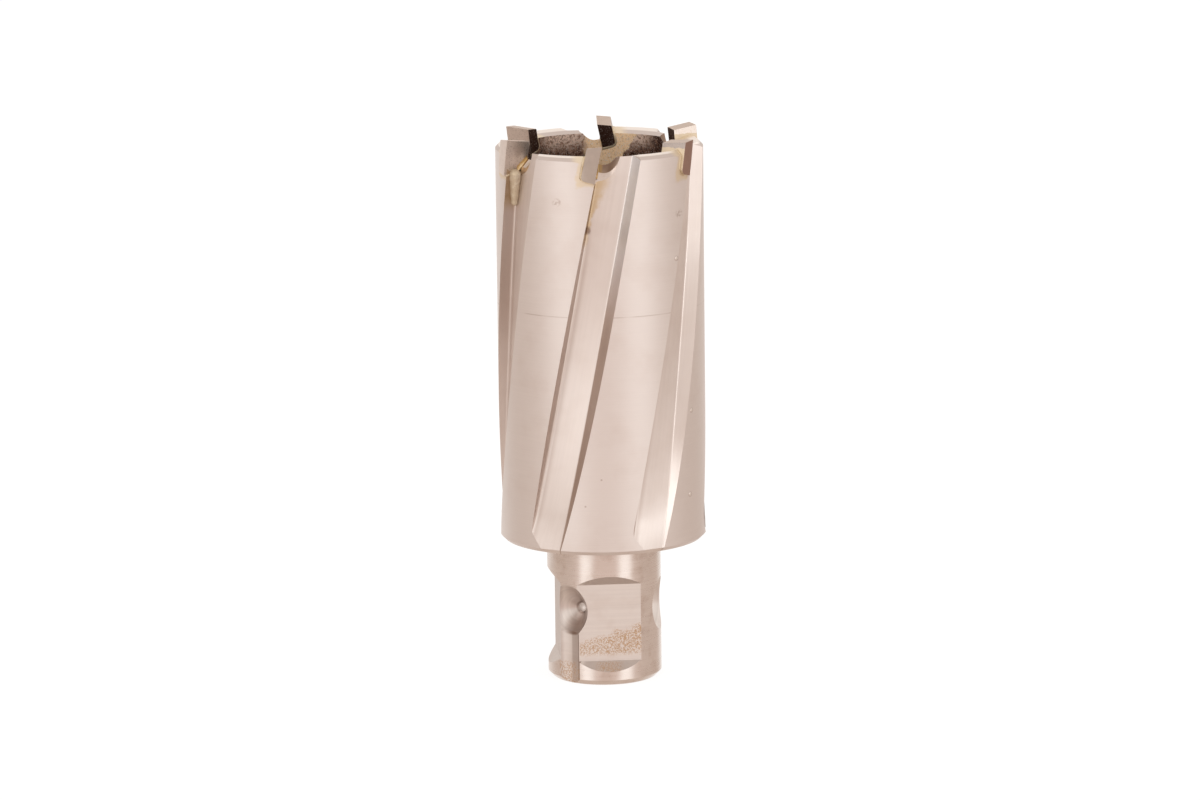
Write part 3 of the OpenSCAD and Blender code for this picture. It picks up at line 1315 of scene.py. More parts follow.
@dataclass
class BrazeRun:
    """Thick run of filler metal that has crept down a flute below a tooth and set in ripples."""

    body: CutterBody
    index: int
    finish: bpy.types.Material
    top_z: float = 87.4
    length: float = 6.5
    thick: float = 1.3
    thin: float = 0.64
    top_blunt: float = 9.0
    foot_blunt: float = 16.0
    ripple: float = 0.025
    ripples: float = 4.5
    aside: float = 0.42
    proud: float = 0.66
    lean: float = 3.5
    flatness: float = 0.75
    steps: int = 40
    segments: int = 28

    def radius(self, share: float) -> float:
        """Radius of the run between its blunt ends.

        Args:
            share: Share of the length from the top.

        Returns:
            The radius there.
        """
        top = min(1.0, math.sqrt(max(0.0, share) * self.top_blunt))
        foot = min(1.0, math.sqrt(max(0.0, 1 - share) * self.foot_blunt))
        wave = self.ripple * math.sin(share * self.ripples * math.tau)
        return (self.thick + (self.thin - self.thick) * share + wave) * top * foot

    def build(self) -> bpy.types.Object:
        """Make the run.

        Returns:
            The piece, which rides on the body.
        """
        profile = [(self.radius(share), -share * self.length) for share in spread(0.0, 1.0, self.steps)]
        out = self.body.flutes.floor_r(self.top_z) + self.proud
        place = (self.body.rake_frame(self.index) @ moved_by(self.aside, -out, self.top_z)
                 @ turned_by(self.lean, "X") @ Matrix.Diagonal((1.0, self.flatness, 1.0, 1.0)))
        return settle(as_object(lathe(profile, self.segments, place), "braze_run", [self.finish]), "braze")


@dataclass(frozen=True)
class LandSteel:
    """Cylindrically ground steel of the lands, with stains from heat and filler metal round the teeth, a
    painted highlight along the crest of their top and painted shade in a band just below it.
    """

    form: FluteForm
    base: str = "EDE7E4"
    worn_and_lit: str = "E0D5CF"
    stain: str = "EBDDC6"
    brown: str = "9C8272"
    pale: str = "F6F0EA"
    roughness: float = 0.5
    relief: float = 0.000004
    nick_depth: float = 25.0
    ring_z: float = 63.9
    ring_fade: Pair = (0.13, 0.04)
    nicks: Places = ((59.0, 46.7), (57.0, 32.6), (46.5, 72.8))
    nick_size: Pair = (0.36, 0.32)
    dots: Places = ((-0.8, 36.8), (-9.8, 32.3), (35.0, 48.2))
    dot_size: Pair = (0.22, 0.2)
    smudges: Places = ((-24.0, 82.9), (49.0, 80.2))
    smudge_size: Pair = (1.1, 0.9)
    chamfer_shade_rise: Pair = (-0.9, -0.8)
    edge_highlight_rise: Pair = (-0.36, -0.24)
    halo_back: float = 2.6
    halo_foot: float = 6.1
    halo_reach: float = 0.95
    halo_rise: Pair = (-1.2, -0.7)
    halo_more: float = 1.6

    def material(self) -> bpy.types.Material:
        """Make the material.

        Returns:
            The finished material.
        """
        g = Graph.material("ground_lands")
        at = RoundPlace(g)
        below_rim = at.z - self.form.rim_z
        streak = g.noise(at.level(0.12, 7.0), 1.0, 4.0)
        colour = g.mix(g.noise(at.point, 0.16).rise(0.45, 0.75) * 0.3, self.base, self.worn_and_lit)
        ring = abs(at.z - self.ring_z).rise(*self.ring_fade) * g.noise(at.point, 0.2, 1.0).rise(0.36, 0.6)
        colour = self.spotted(g, at, g.mix(ring * 0.3, colour, self.brown))
        sunk: Term = 0.0
        for place in self.nicks:
            nick = at.spot(*place, *self.nick_size)
            colour = g.mix(nick.rise(1.6, 1.1) * 0.3, colour, self.brown)
            colour = g.mix(nick.rise(1.1, 0.8), colour, self.pale)
            sunk = nick.rise(1.1, 0.6).at_least(sunk)
        # Painted highlight: a pale line along the crest of the lands' top. Painted shade: a brown band just
        # below it.
        edge = below_rim.rise(*self.edge_highlight_rise)
        colour = g.mix(below_rim.rise(*self.chamfer_shade_rise) * (1 - edge) * 0.4, colour, self.brown)
        colour = g.mix(edge * 0.8, colour, self.pale)
        colour = g.mix(self.halo(g, at, below_rim), colour, self.stain)
        return g.surface({
            "Base Color": g.shade(colour, 0.965 + streak * 0.07),
            "Metallic": 1.0,
            "Roughness": self.roughness - 0.05 + streak * 0.1,
            "Normal": g.bump(streak + sunk * self.nick_depth, self.relief),
        })

    def spotted(self, g: Graph, at: RoundPlace, colour: Signal) -> Signal:
        """Add brown smudges and dots.

        Args:
            g: Tree of the material.
            at: Places in it.
            colour: Colour below them.

        Returns:
            The spotted colour.
        """
        fine = g.noise(at.point, 2.2, 2.0)
        for place in self.smudges:
            patch = at.spot(*place, *self.smudge_size).rise(1.0, 0.4) * fine.rise(0.42, 0.6)
            colour = g.mix(patch * 0.35, colour, self.brown)
        for place in self.dots:
            colour = g.mix(at.spot(*place, *self.dot_size).rise(1.0, 0.5) * 0.4, colour, self.brown)
        return colour

    def halo(self, g: Graph, at: RoundPlace, below_rim: Signal) -> Signal:
        """Mask the filler metal that has run out round an insert.

        Args:
            g: Tree of the material.
            at: Places in it.
            below_rim: Height from the rim.

        Returns:
            The mask.
        """
        along = at.behind(self.form)
        side = (-self.halo_back - along).at_least(0.0).at_least(along)
        below = (self.form.tip_z - self.halo_foot - at.z).at_least(0.0)
        away = (side * side + below * below).root()
        reach = self.halo_reach + below_rim.rise(*self.halo_rise) * self.halo_more
        ragged = away + (g.noise(at.point, 0.8) - 0.5) * 1.3
        return ragged.rise(reach, reach * 0.3) * 0.9


@dataclass(frozen=True)
class FluteSteel:
    """Milled steel of the flutes, with streaks along them, filler metal that has run down, painted shade in
    the near corners and on the far walls, and a painted highlight high on the far walls.
    """

    form: FluteForm
    base: str = "EDE6E2"
    dull: str = "DFD4CD"
    wall: str = "CDBFB6"
    cool_highlight: str = "F3F7FC"
    corner: str = "AE988A"
    stain: str = "DDC8A8"
    brown: str = "8B6F5B"
    roughness: float = 0.46
    relief: float = 0.006
    front_x: Pair = (4.0, 0.0)
    right_x: Pair = (2.0, 6.0)
    left_x: Pair = (-8.0, -11.0)
    hidden_x: Pair = (-11.0, -14.0)
    hidden_z: Pair = (72.0, 50.0)
    wall_shade_share_z: Pair = (30.0, 48.0)
    wall_shade_z: Pair = (80.0, 62.0)
    cool_highlight_z: Pair = (62.0, 76.0)
    cool_highlight_x: Pair = (13.0, 9.0)
    low_z: Pair = (50.0, 34.0)
    tan_shade_z: Pair = (82.0, 70.0)
    tan_shade_arc: Pair = (0.45, 0.6)
    tan_shade_end: Pair = (1.5, 0.7)
    near_arc: Pair = (0.16, 0.06)
    run_z: float = 74.5
    run_fade: float = 3.0
    run_lift: float = 5.2
    run_spread: Pair = (78.5, 87.5)
    burn: tuple[float, ...] = (-7.9, 78.2, 0.75, 1.0)
    exit_z: Pair = (33.0, 29.0)
    exit_x: Pair = (0.0, 5.0)
    smooth_z: Pair = (84.0, 70.0)
    turn_from: float = 3.0
    turn_z: Pair = (36.0, 27.0)
    hollow_z: Pair = (66.0, 76.0)

    def material(self) -> bpy.types.Material:
        """Make the material.

        Returns:
            The finished material.
        """
        g = Graph.material("milled_flutes")
        at = RoundPlace(g)
        along = at.behind(self.form)
        streak = g.noise(g.vector(along * 2.6, at.radius * 1.5, at.z * 0.05), 1.0, 4.0, 0.6)
        turn = along / at.radius * DEGREES_PER_RADIAN
        far = turn.rise(self.form.span - 0.6, self.form.span + 0.6)
        colour = g.mix(g.noise(at.point, 0.2, 2.0).rise(0.4, 0.75) * 0.3, self.base, self.dull)
        colour = self.painted_wall_light(g, at, far, colour)
        colour = self.stained_and_shaded(g, at, along, colour)
        out = at.z.rise(*self.exit_z) * (0.1 + at.x.rise(*self.exit_x) * 0.05)
        smoother = (far * at.z.rise(*self.smooth_z) * 0.16).at_least(out)
        return g.surface({
            "Base Color": g.shade(colour, 0.95 + streak * 0.1),
            "Metallic": 1.0,
            "Roughness": self.roughness - 0.05 + streak * 0.1 - smoother,
            "Normal": g.bump(streak - self.hollowed(at, along) / self.relief, self.relief * METRES_PER_MM),
        })

    def painted_wall_light(self, g: Graph, at: RoundPlace, far: Signal, colour: Signal) -> Signal:
        """Paint light on the far walls: painted shade low down, much stronger on the front flute, and a pale
        bluish painted highlight high up near the teeth.

        Args:
            g: Tree of the material.
            at: Places in it.
            far: Mask of the far walls.
            colour: Colour below the tones.

        Returns:
            The toned colour.
        """
        front = at.x.rise(*self.front_x)
        dim = (at.z.rise(*self.wall_shade_share_z) * 0.25).at_least(front * 0.95)
        # Painted shade on the lower far walls, much stronger on the front flute.
        colour = g.mix(far * at.z.rise(*self.wall_shade_z) * dim, colour, self.wall)
        # Painted highlight: a pale bluish tone on the far walls high up near the teeth, except on the far
        # right.
        colour = g.mix(far * at.z.rise(*self.cool_highlight_z) * at.x.rise(*self.cool_highlight_x) * 0.8, colour, self.cool_highlight)
        # Painted shade, darker still, low on the front flute's far wall.
        return g.mix(far * front * at.z.rise(*self.low_z) * 0.7, colour, self.corner)

    def stained_and_shaded(self, g: Graph, at: RoundPlace, along: Signal, colour: Signal) -> Signal:
        """Paint shade in the near corner and a tan painted shade beside it, and add filler metal that has run
        down it and a burn mark.

        Args:
            g: Tree of the material.
            at: Places in it.
            along: Arc from the near wall.
            colour: Colour below the shade and stains.

        Returns:
            The colour with its shade and stains.
        """
        fine = g.noise(at.point, 0.9)
        # Painted shade: a tan band a little way out from the near wall, lower down the flutes.
        tan = along.rise(*self.tan_shade_arc) * along.rise(*self.tan_shade_end) * at.z.rise(*self.tan_shade_z)
        colour = g.mix(tan * 0.22, colour, self.corner)
        # Painted shade in the near corner, weaker low on the far left flute.
        near = along.rise(*self.near_arc)
        hidden = at.x.rise(*self.hidden_x) * at.z.rise(*self.hidden_z)
        colour = g.mix(near * (0.6 - hidden * 0.4), colour, self.corner)
        left = at.x.rise(*self.left_x)
        wide = 0.5 + at.z.rise(*self.run_spread) * 2.5 + (fine - 0.5) * 1.6
        low = self.run_z + left * self.run_lift
        run = along.rise(wide * 1.15, wide * 0.25) * at.z.rise(low, low + self.run_fade)
        run = run * (0.55 + fine * 0.75) * (1 - left * (1 - near))
        colour = g.mix(run, colour, self.stain)
        colour = g.mix(run * near * 0.6, colour, self.brown)
        burn_and_shade = at.spot(*self.burn) + (fine - 0.5) * 0.8
        return g.mix(burn_and_shade.rise(1.0, 0.3) * 0.8, colour, self.brown)

    def hollowed(self, at: RoundPlace, along: Signal) -> Signal:
        """Fall of the slightly hollow far walls towards the land, and of a run-out towards its near side.

        Args:
            at: Places in the material.
            along: Arc from the near wall.

        Returns:
            The fall in millimetres.
        """
        edge = at.radius * math.radians(self.form.span)
        beyond = (along - edge).at_least(0.0)
        right = at.x.rise(*self.right_x)
        turned = (along.at_most(edge) - self.turn_from) * right * at.z.rise(*self.turn_z) * 0.045
        return beyond * (right * at.z.rise(*self.low_z) * 0.4 + at.z.rise(*self.hollow_z) * 0.06) - turned


@dataclass(frozen=True)
class ShankSteel:
    """Turned steel of the shank, the shoulder and the gullets' eased mouths, with fine marks round it, random
    brown blotches, and painted shade under the shoulder and on the left side.
    """

    shoulder_z: float
    base: str = "EFE7E2"
    dull: str = "DCCFC6"
    brown: str = "A5826A"
    roughness: float = 0.29
    relief: float = 0.000008
    shoulder_shade_z: Pair = (-2.2, -0.2)
    left_x: Pair = (-8.0, -9.0)

    def material(self) -> bpy.types.Material:
        """Make the material.

        Returns:
            The finished material.
        """
        g = Graph.material("turned_shank")
        at = RoundPlace(g)
        streak = g.noise(at.level(0.08, 5.0), 1.0, 5.0, 0.65)
        colour = g.mix(g.noise(at.point, 0.35).rise(0.45, 0.75) * 0.5, self.base, self.dull)
        # Painted shade: browner from 2 mm below the shoulder upwards, which also takes in the shoulder and
        # the gullets' eased mouths, plus random brown blotches everywhere; painted shade on the left side
        # too.
        under = (at.z - self.shoulder_z).rise(*self.shoulder_shade_z) + g.noise(at.point, 0.5).rise(0.55, 0.7) * 0.5
        colour = g.mix((under * 0.3).at_least(at.x.rise(*self.left_x) * 0.3), colour, self.brown)
        return g.surface({
            "Base Color": g.shade(colour, 0.9 + streak * 0.2),
            "Metallic": 1.0,
            "Roughness": self.roughness - 0.08 + streak * 0.16,
            "Anisotropic": 0.7,
            "Anisotropic Rotation": 0.25,
            "Normal": g.bump(streak, self.relief),
        })


@dataclass(frozen=True)
class MilledSteel:
    """Milled steel of the flats, dimples and groove, with brown pitting low on the front flat, and painted
    shade in the front dimple, round the dimples' points, on the front flat's ramped ends, on the groove's
    right half and on the left side.
    """

    body: CutterBody
    base: str = "F3EDE9"
    dull: str = "E5DAD3"
    rust: str = "C59966"
    shade: str = "84695B"
    roughness: float = 0.54
    relief: float = 0.00001
    sunk_by: Pair = (0.02, 0.1)
    cone_edge: Pair = (4.4, 3.9)
    front_x: Pair = (0.0, -1.0)
    ramp_x: Pair = (-4.0, -3.0)
    ramp_fade: float = 0.1
    groove_x: Pair = (-3.5, -3.8)
    groove_up: Pair = (-3.6, -4.0)
    left_x: Pair = (-6.6, -7.4)
    rim_fade: Pair = (0.0, 0.05)
    rim_end: Pair = (0.35, 0.15)
    point_fade: float = 0.08
    rust_z: Pair = (4.5, 5.6)
    rust_x: Pair = (-4.4, -4.1)
    rust_top: float = 8.9
    rust_climb: float = 0.3
    foot_z: float = 4.2
    foot_x: Pair = (-3.2, -4.4)
    spill_x: float = 0.6
    spill_z: Pair = (4.0, 3.6)
    front_y: Pair = (-4.0, -5.0)

    def material(self) -> bpy.types.Material:
        """Make the material.

        Returns:
            The finished material.
        """
        g = Graph.material("milled_flats")
        at = RoundPlace(g)
        body = self.body
        third = math.tau / body.dimple_count
        turn = at.angle - math.radians(body.dimple_angle)
        across = ((turn + 1.5 * third) % third - third / 2).sine() * at.radius
        up = at.z - body.dimple_z
        off = (across * across + up * up).root()
        flats = [math.radians(a) for a in body.flat_angles]
        outward = [at.x * math.sin(a) - at.y * math.cos(a) for a in flats]
        sunk = (body.flat_r - outward[0].at_least(outward[1])).rise(*self.sunk_by)
        cone = off.rise(*self.cone_edge) * sunk
        lines = g.noise(at.level(0.06, 3.2), 1.0, 4.0, 0.6)
        rings = g.noise(g.vector(off * 3.0, 0.0, 0.0), 1.0, 4.0, 0.6)
        marks = lines + (rings - lines) * cone
        colour = g.mix(g.noise(at.point, 0.3, 2.0).rise(0.42, 0.75) * 0.35, self.base, self.dull)
        # Painted shade in the front dimple's cone, strongest towards its right and lower side.
        painted_shade = cone * across.rise(-2.4, 0.6) * (0.4 + up.rise(0.5, -2.2) * 0.6) * at.x.rise(*self.front_x)
        colour = g.mix(painted_shade * 0.85, colour, self.shade)
        half = body.flat_len / 2
        # Painted shade on the ramped ends of the front flat.
        ramp_shade = abs(at.z - body.flat_mid_z).rise(half, half + self.ramp_fade)
        colour = g.mix(ramp_shade * at.x.rise(*self.ramp_x) * 0.3, colour, self.shade)
        groove = up.rise(*self.groove_up) * at.x.rise(*self.groove_x)
        groove = groove * abs(outward[0] - body.flat_r).rise(0.01, 0.04)
        # Painted shade on the groove's right half, with a darker line near its right edge.
        side = across.rise(-0.15, 0.2) * 0.35 + across.rise(1.6, 1.8) * 0.45
        colour = g.mix(groove * side * across.rise(2.3, 2.2), colour, self.shade)
        # Painted shade on the left side of the flats and groove.
        colour = g.mix(at.x.rise(*self.left_x) * 0.25, colour, self.shade)
        # Painted shade: a darker ring round each dimple's ball point; the point itself keeps the plain base
        # colour, free of painted shade, and is less metallic.
        past = off - body.dimple_point_r
        colour = g.mix(past.rise(*self.rim_fade) * past.rise(*self.rim_end) * sunk * 0.5, colour, self.shade)
        point = past.rise(0.0, -self.point_fade) * sunk
        colour = g.mix(point, colour, self.base)
        pits = g.noise(at.point, 4.4, 3.0, 0.7).rise(0.45, 0.56) * self.rusty(g, at) * (1 - cone)
        colour = g.mix(pits * (0.68 + at.x.rise(-3.0, 3.0) * 0.12), colour, self.rust)
        return g.surface({
            "Base Color": g.shade(colour, 0.93 + (marks - 0.5) * (0.14 + cone * 0.3)),
            "Metallic": 1.0 - pits * 0.5 - point * 0.6,
            "Roughness": self.roughness - 0.05 + marks * 0.1 + pits * 0.2 - cone * 0.18,
            "Anisotropic": 0.3,
            "Normal": g.bump(marks - pits * 0.8, self.relief),
        })

    def rusty(self, g: Graph, at: RoundPlace) -> Signal:
        """Mask the rusty places: a climbing band on the front flat, its ramp and the groove's foot.

        Args:
            g: Tree of the material.
            at: Places in it.

        Returns:
            The mask.
        """
        ragged = (g.noise(at.point, 0.5, 2.0) - 0.5) * 3.0
        top = self.rust_top + at.x * self.rust_climb + ragged
        band = (top - at.z).rise(0.0, 1.2) * at.z.rise(*self.rust_z) * at.x.rise(*self.rust_x)
        foot = (self.foot_z + ragged - at.z).rise(0.0, 2.0) * at.x.rise(*self.foot_x)
        spill = abs(at.x - self.spill_x).rise(3.0, 1.0) * at.z.rise(*self.spill_z)
        return band.at_least(foot).at_least(spill * 0.8) * at.y.rise(*self.front_y)


@dataclass(frozen=True)
class CoreSteel:
    """Bored wall of the hollow: dull and grainy, lighter at its mouth with painted light, with painted shade
    deeper down and at its two sides, and a patch of gold coat.
    """

    mouth: str = "F2DACA"
    base: str = "987563"
    grain: str = "44291E"
    pale: str = "EFE4DC"
    stain: str = "FFDDB2"
    tan: str = "BE9664"
    roughness: float = 0.5
    relief: float = 0.00004
    left_end: Pair = (217.0, 230.0)
    right_end: Pair = (148.0, 134.0)
    deep_shade_z: Pair = (88.0, 84.0)
    mouth_z: Pair = (86.6, 89.4)
    coat_left: Pair = (192.0, 186.0)
    coat_right: float = 152.0
    coat_top_z: float = 89.7
    coat_slant: float = 3.2
    coat_fade: Pair = (-0.6, 0.8)
    coat_z: Pair = (77.0, 84.0)

    def material(self) -> bpy.types.Material:
        """Make the material.

        Returns:
            The finished material.
        """
        g = Graph.material("bored_hollow")
        at = RoundPlace(g)
        coarse = g.noise(at.point, 1.6, 4.0, 0.7)
        fine = g.noise(at.point, 5.0, 2.0, 0.6)
        turn = (at.angle * DEGREES_PER_RADIAN) % 360.0
        # Painted shade: the darker grain takes over deeper in the hollow and towards its two sides.
        ends = turn.rise(*self.left_end).at_least(turn.rise(*self.right_end))
        painted_shade = at.z.rise(*self.deep_shade_z) * 0.2 + ends * 0.12 - 0.04
        colour = g.mix((coarse + painted_shade).rise(0.36, 0.66), self.base, self.grain)
        # Painted light: a pale, speckled tone near the hollow's mouth, left out at its two sides.
        lit = (at.z + (g.noise(at.point, 0.3, 2.0) - 0.5) * 2.0).rise(*self.mouth_z) * (1 - ends)
        worn_and_lit = g.mix(g.noise(at.point, 2.6, 4.0, 0.7).rise(0.45, 0.6) * 0.9, self.mouth, self.base)
        colour = g.mix(lit, colour, worn_and_lit)
        colour = g.mix(fine.rise(0.56, 0.66) * 0.5, colour, self.pale)
        gold = self.coat(g, at, turn) * (0.88 + coarse * 0.2)
        colour = g.mix(gold, colour, self.stain)
        colour = g.mix(gold * g.noise(at.point, 3.2, 3.0, 0.7).rise(0.48, 0.62) * 0.6, colour, self.tan)
        colour = g.mix(gold * fine.rise(0.52, 0.64) * 0.8, colour, self.pale)
        return g.surface({
            "Base Color": colour,
            "Metallic": 0.9 - gold * 0.8,
            "Roughness": self.roughness + fine * 0.1,
            "Normal": g.bump(coarse * 0.6 + fine * 0.4, self.relief),
        })

    def coat(self, g: Graph, at: RoundPlace, turn: Signal) -> Signal:
        """Mask the gold coat, which slants on its right and fades out downwards.

        Args:
            g: Tree of the material.
            at: Places in it.
            turn: Angle about the axis in degrees, from zero to a full turn.

        Returns:
            The mask.
        """
        ragged = (g.noise(at.point, 0.7) - 0.5) * 0.5
        left = (turn + ragged * 16.0).rise(*self.coat_left)
        right = turn - (self.coat_right + (self.coat_top_z - at.z) * self.coat_slant) + ragged * 10.0
        return left * right.rise(*self.coat_fade) * (at.z + ragged * 4.0).rise(*self.coat_z)


@dataclass(frozen=True)
class GulletSteel:
    """Steel of the gullets and slots, brown from the brazing heat and with filler-metal stains, with painted
    shade towards the hollow and a painted highlight in the gullets on the left.
    """

    form: FluteForm
    base: str = "AE9786"
    burn_and_shade: str = "705A4C"
    stain: str = "A88A5E"
    pale: str = "F4EEE8"
    roughness: float = 0.4
    relief: float = 0.00002
    inner_shade_r: Pair = (15.4, 13.6)
    near_arc: Pair = (1.6, 0.2)
    highlight_x: Pair = (-9.0, -11.0)
    highlight_arc: Pair = (0.5, 0.65)
    highlight_end: Pair = (2.0, 1.6)

    def material(self) -> bpy.types.Material:
        """Make the material.

        Returns:
            The finished material.
        """
        g = Graph.material("burnt_gullets")
        at = RoundPlace(g)
        along = at.behind(self.form)
        cloud = g.noise(at.point, 0.8)
        # Painted shade: darker brown towards the hollow.
        colour = g.mix(at.radius.rise(*self.inner_shade_r) * 0.7, self.base, self.burn_and_shade)
        near = along.rise(*self.near_arc) + (cloud - 0.5) * 0.9
        colour = g.mix(near.rise(0.4, 0.9) * 0.8, colour, self.stain)
        # Painted highlight: a pale streak in the gullets on the left, a little way out from the tooth.
        highlight = at.x.rise(*self.highlight_x) * along.rise(*self.highlight_arc) * along.rise(*self.highlight_end)
        colour = g.mix(highlight, colour, self.pale)
        return g.surface({
            "Base Color": g.shade(colour, 0.85 + cloud * 0.3),
            "Metallic": 1.0,
            "Roughness": self.roughness - 0.1 + cloud * 0.2 + highlight * 0.3,
            "Normal": g.bump(cloud, self.relief),
        })


@dataclass(frozen=True)
class Carbide:
    """A face of cemented carbide: a ground tone with fine grains of another, and a coat below a height."""

    name: str
    base: str
    grain: str
    amount: float
    roughness: float
    coat_z: float = 0.0
    coat: str = "D9CAB2"
    relief: float = 0.000012

    def material(self) -> bpy.types.Material:
        """Make the material.

        Returns:
            The finished material.
        """
        g = Graph.material(self.name)
        at = RoundPlace(g)
        fine = g.noise(at.point, 4.5, 3.0, 0.7)
        cloud = g.noise(at.point, 0.9, 2.0)
        colour = g.mix(fine.rise(0.54, 0.66) * self.amount, self.base, self.grain)
        coated = (self.coat_z + (cloud - 0.5) * 0.8 - at.z).rise(0.0, 0.15)
        colour = g.mix(coated, colour, self.coat)
        return g.surface({
            "Base Color": g.shade(colour, 0.9 + cloud * 0.2),
            "Metallic": 0.85,
            "Roughness": self.roughness + fine * 0.1,
            "Normal": g.bump(fine, self.relief),
        })


@dataclass(frozen=True)
class Braze:
    """Filler metal as it has set: soft gold with paler and browner clouds."""

    name: str
    base: str
    pale: str
    brown: str
    roughness: float = 0.36
    metallic: float = 0.95
    relief: float = 0.00005

    def material(self) -> bpy.types.Material:
        """Make the material.

        Returns:
            The finished material.
        """
        g = Graph.material(self.name)
        at = RoundPlace(g)
        cloud = g.noise(at.point, 1.1)
        fine = g.noise(at.point, 3.5)
        colour = g.mix(cloud.rise(0.45, 0.7), self.base, self.pale)
        colour = g.mix(fine.rise(0.58, 0.75) * 0.6, colour, self.brown)
        return g.surface({
            "Base Color": colour,
            "Metallic": self.metallic,
            "Roughness": self.roughness + fine * 0.15,
            "Normal": g.bump(cloud * 0.6 + fine * 0.4, self.relief),
        })


@dataclass
class ToothFinishes:
    """Finishes of the inserts' facets, with the few teeth whose outside or back differs; of the two odd
    outsides, one is darker with painted shade and one paler with painted light.
    """

    coat_z: float
    shaded_outside: int = 2
    lit_outside: int = 6
    filled_back: int = 3
    facets: dict[Facet, bpy.types.Material] = field(default_factory=dict)
    others: dict[tuple[int, Facet], bpy.types.Material] = field(default_factory=dict)

    def __post_init__(self) -> None:
        """Make the materials."""
        self.facets = {
            Facet.OUTSIDE: Carbide("carbide_outside", "C4BAB1", "B0A49C", 0.12, 0.26).material(),
            Facet.RAKE: Carbide("carbide_rake", "CEC1B7", "806E63", 0.6, 0.34).material(),
            Facet.INSIDE: Carbide("carbide_inside", "3E261D", "E2D8D0", 0.3, 0.34).material(),
            Facet.CROWN: Carbide("carbide_crown", "C6B4A7", "E4D8CC", 0.5, 0.36).material(),
            Facet.BACK: Carbide("carbide_back", "BDB3AD", "8F837C", 0.6, 0.36, self.coat_z).material(),
        }
        # Copies of the outside finish: darker with painted shade for tooth 2, paler with painted light for
        # tooth 6.
        shaded_carbide = Carbide("carbide_browned", "A6897D", "8F7266", 0.25, 0.26).material()
        lit_carbide = Carbide("carbide_bright", "EDE4DE", "D8CCC4", 0.2, 0.45).material()
        filled = Carbide("carbide_filled", "F0E8E1", "D5C3B2", 0.5, 0.34, self.coat_z).material()
        self.others = {
            (self.shaded_outside, Facet.OUTSIDE): shaded_carbide,
            (self.lit_outside, Facet.OUTSIDE): lit_carbide,
            (self.filled_back, Facet.BACK): filled,
        }

    def of_tooth(self, number: int) -> list[bpy.types.Material]:
        """Finishes of one tooth, in the order of its facets."""
        return [self.others.get((number, facet), self.facets[facet]) for facet in Facet]


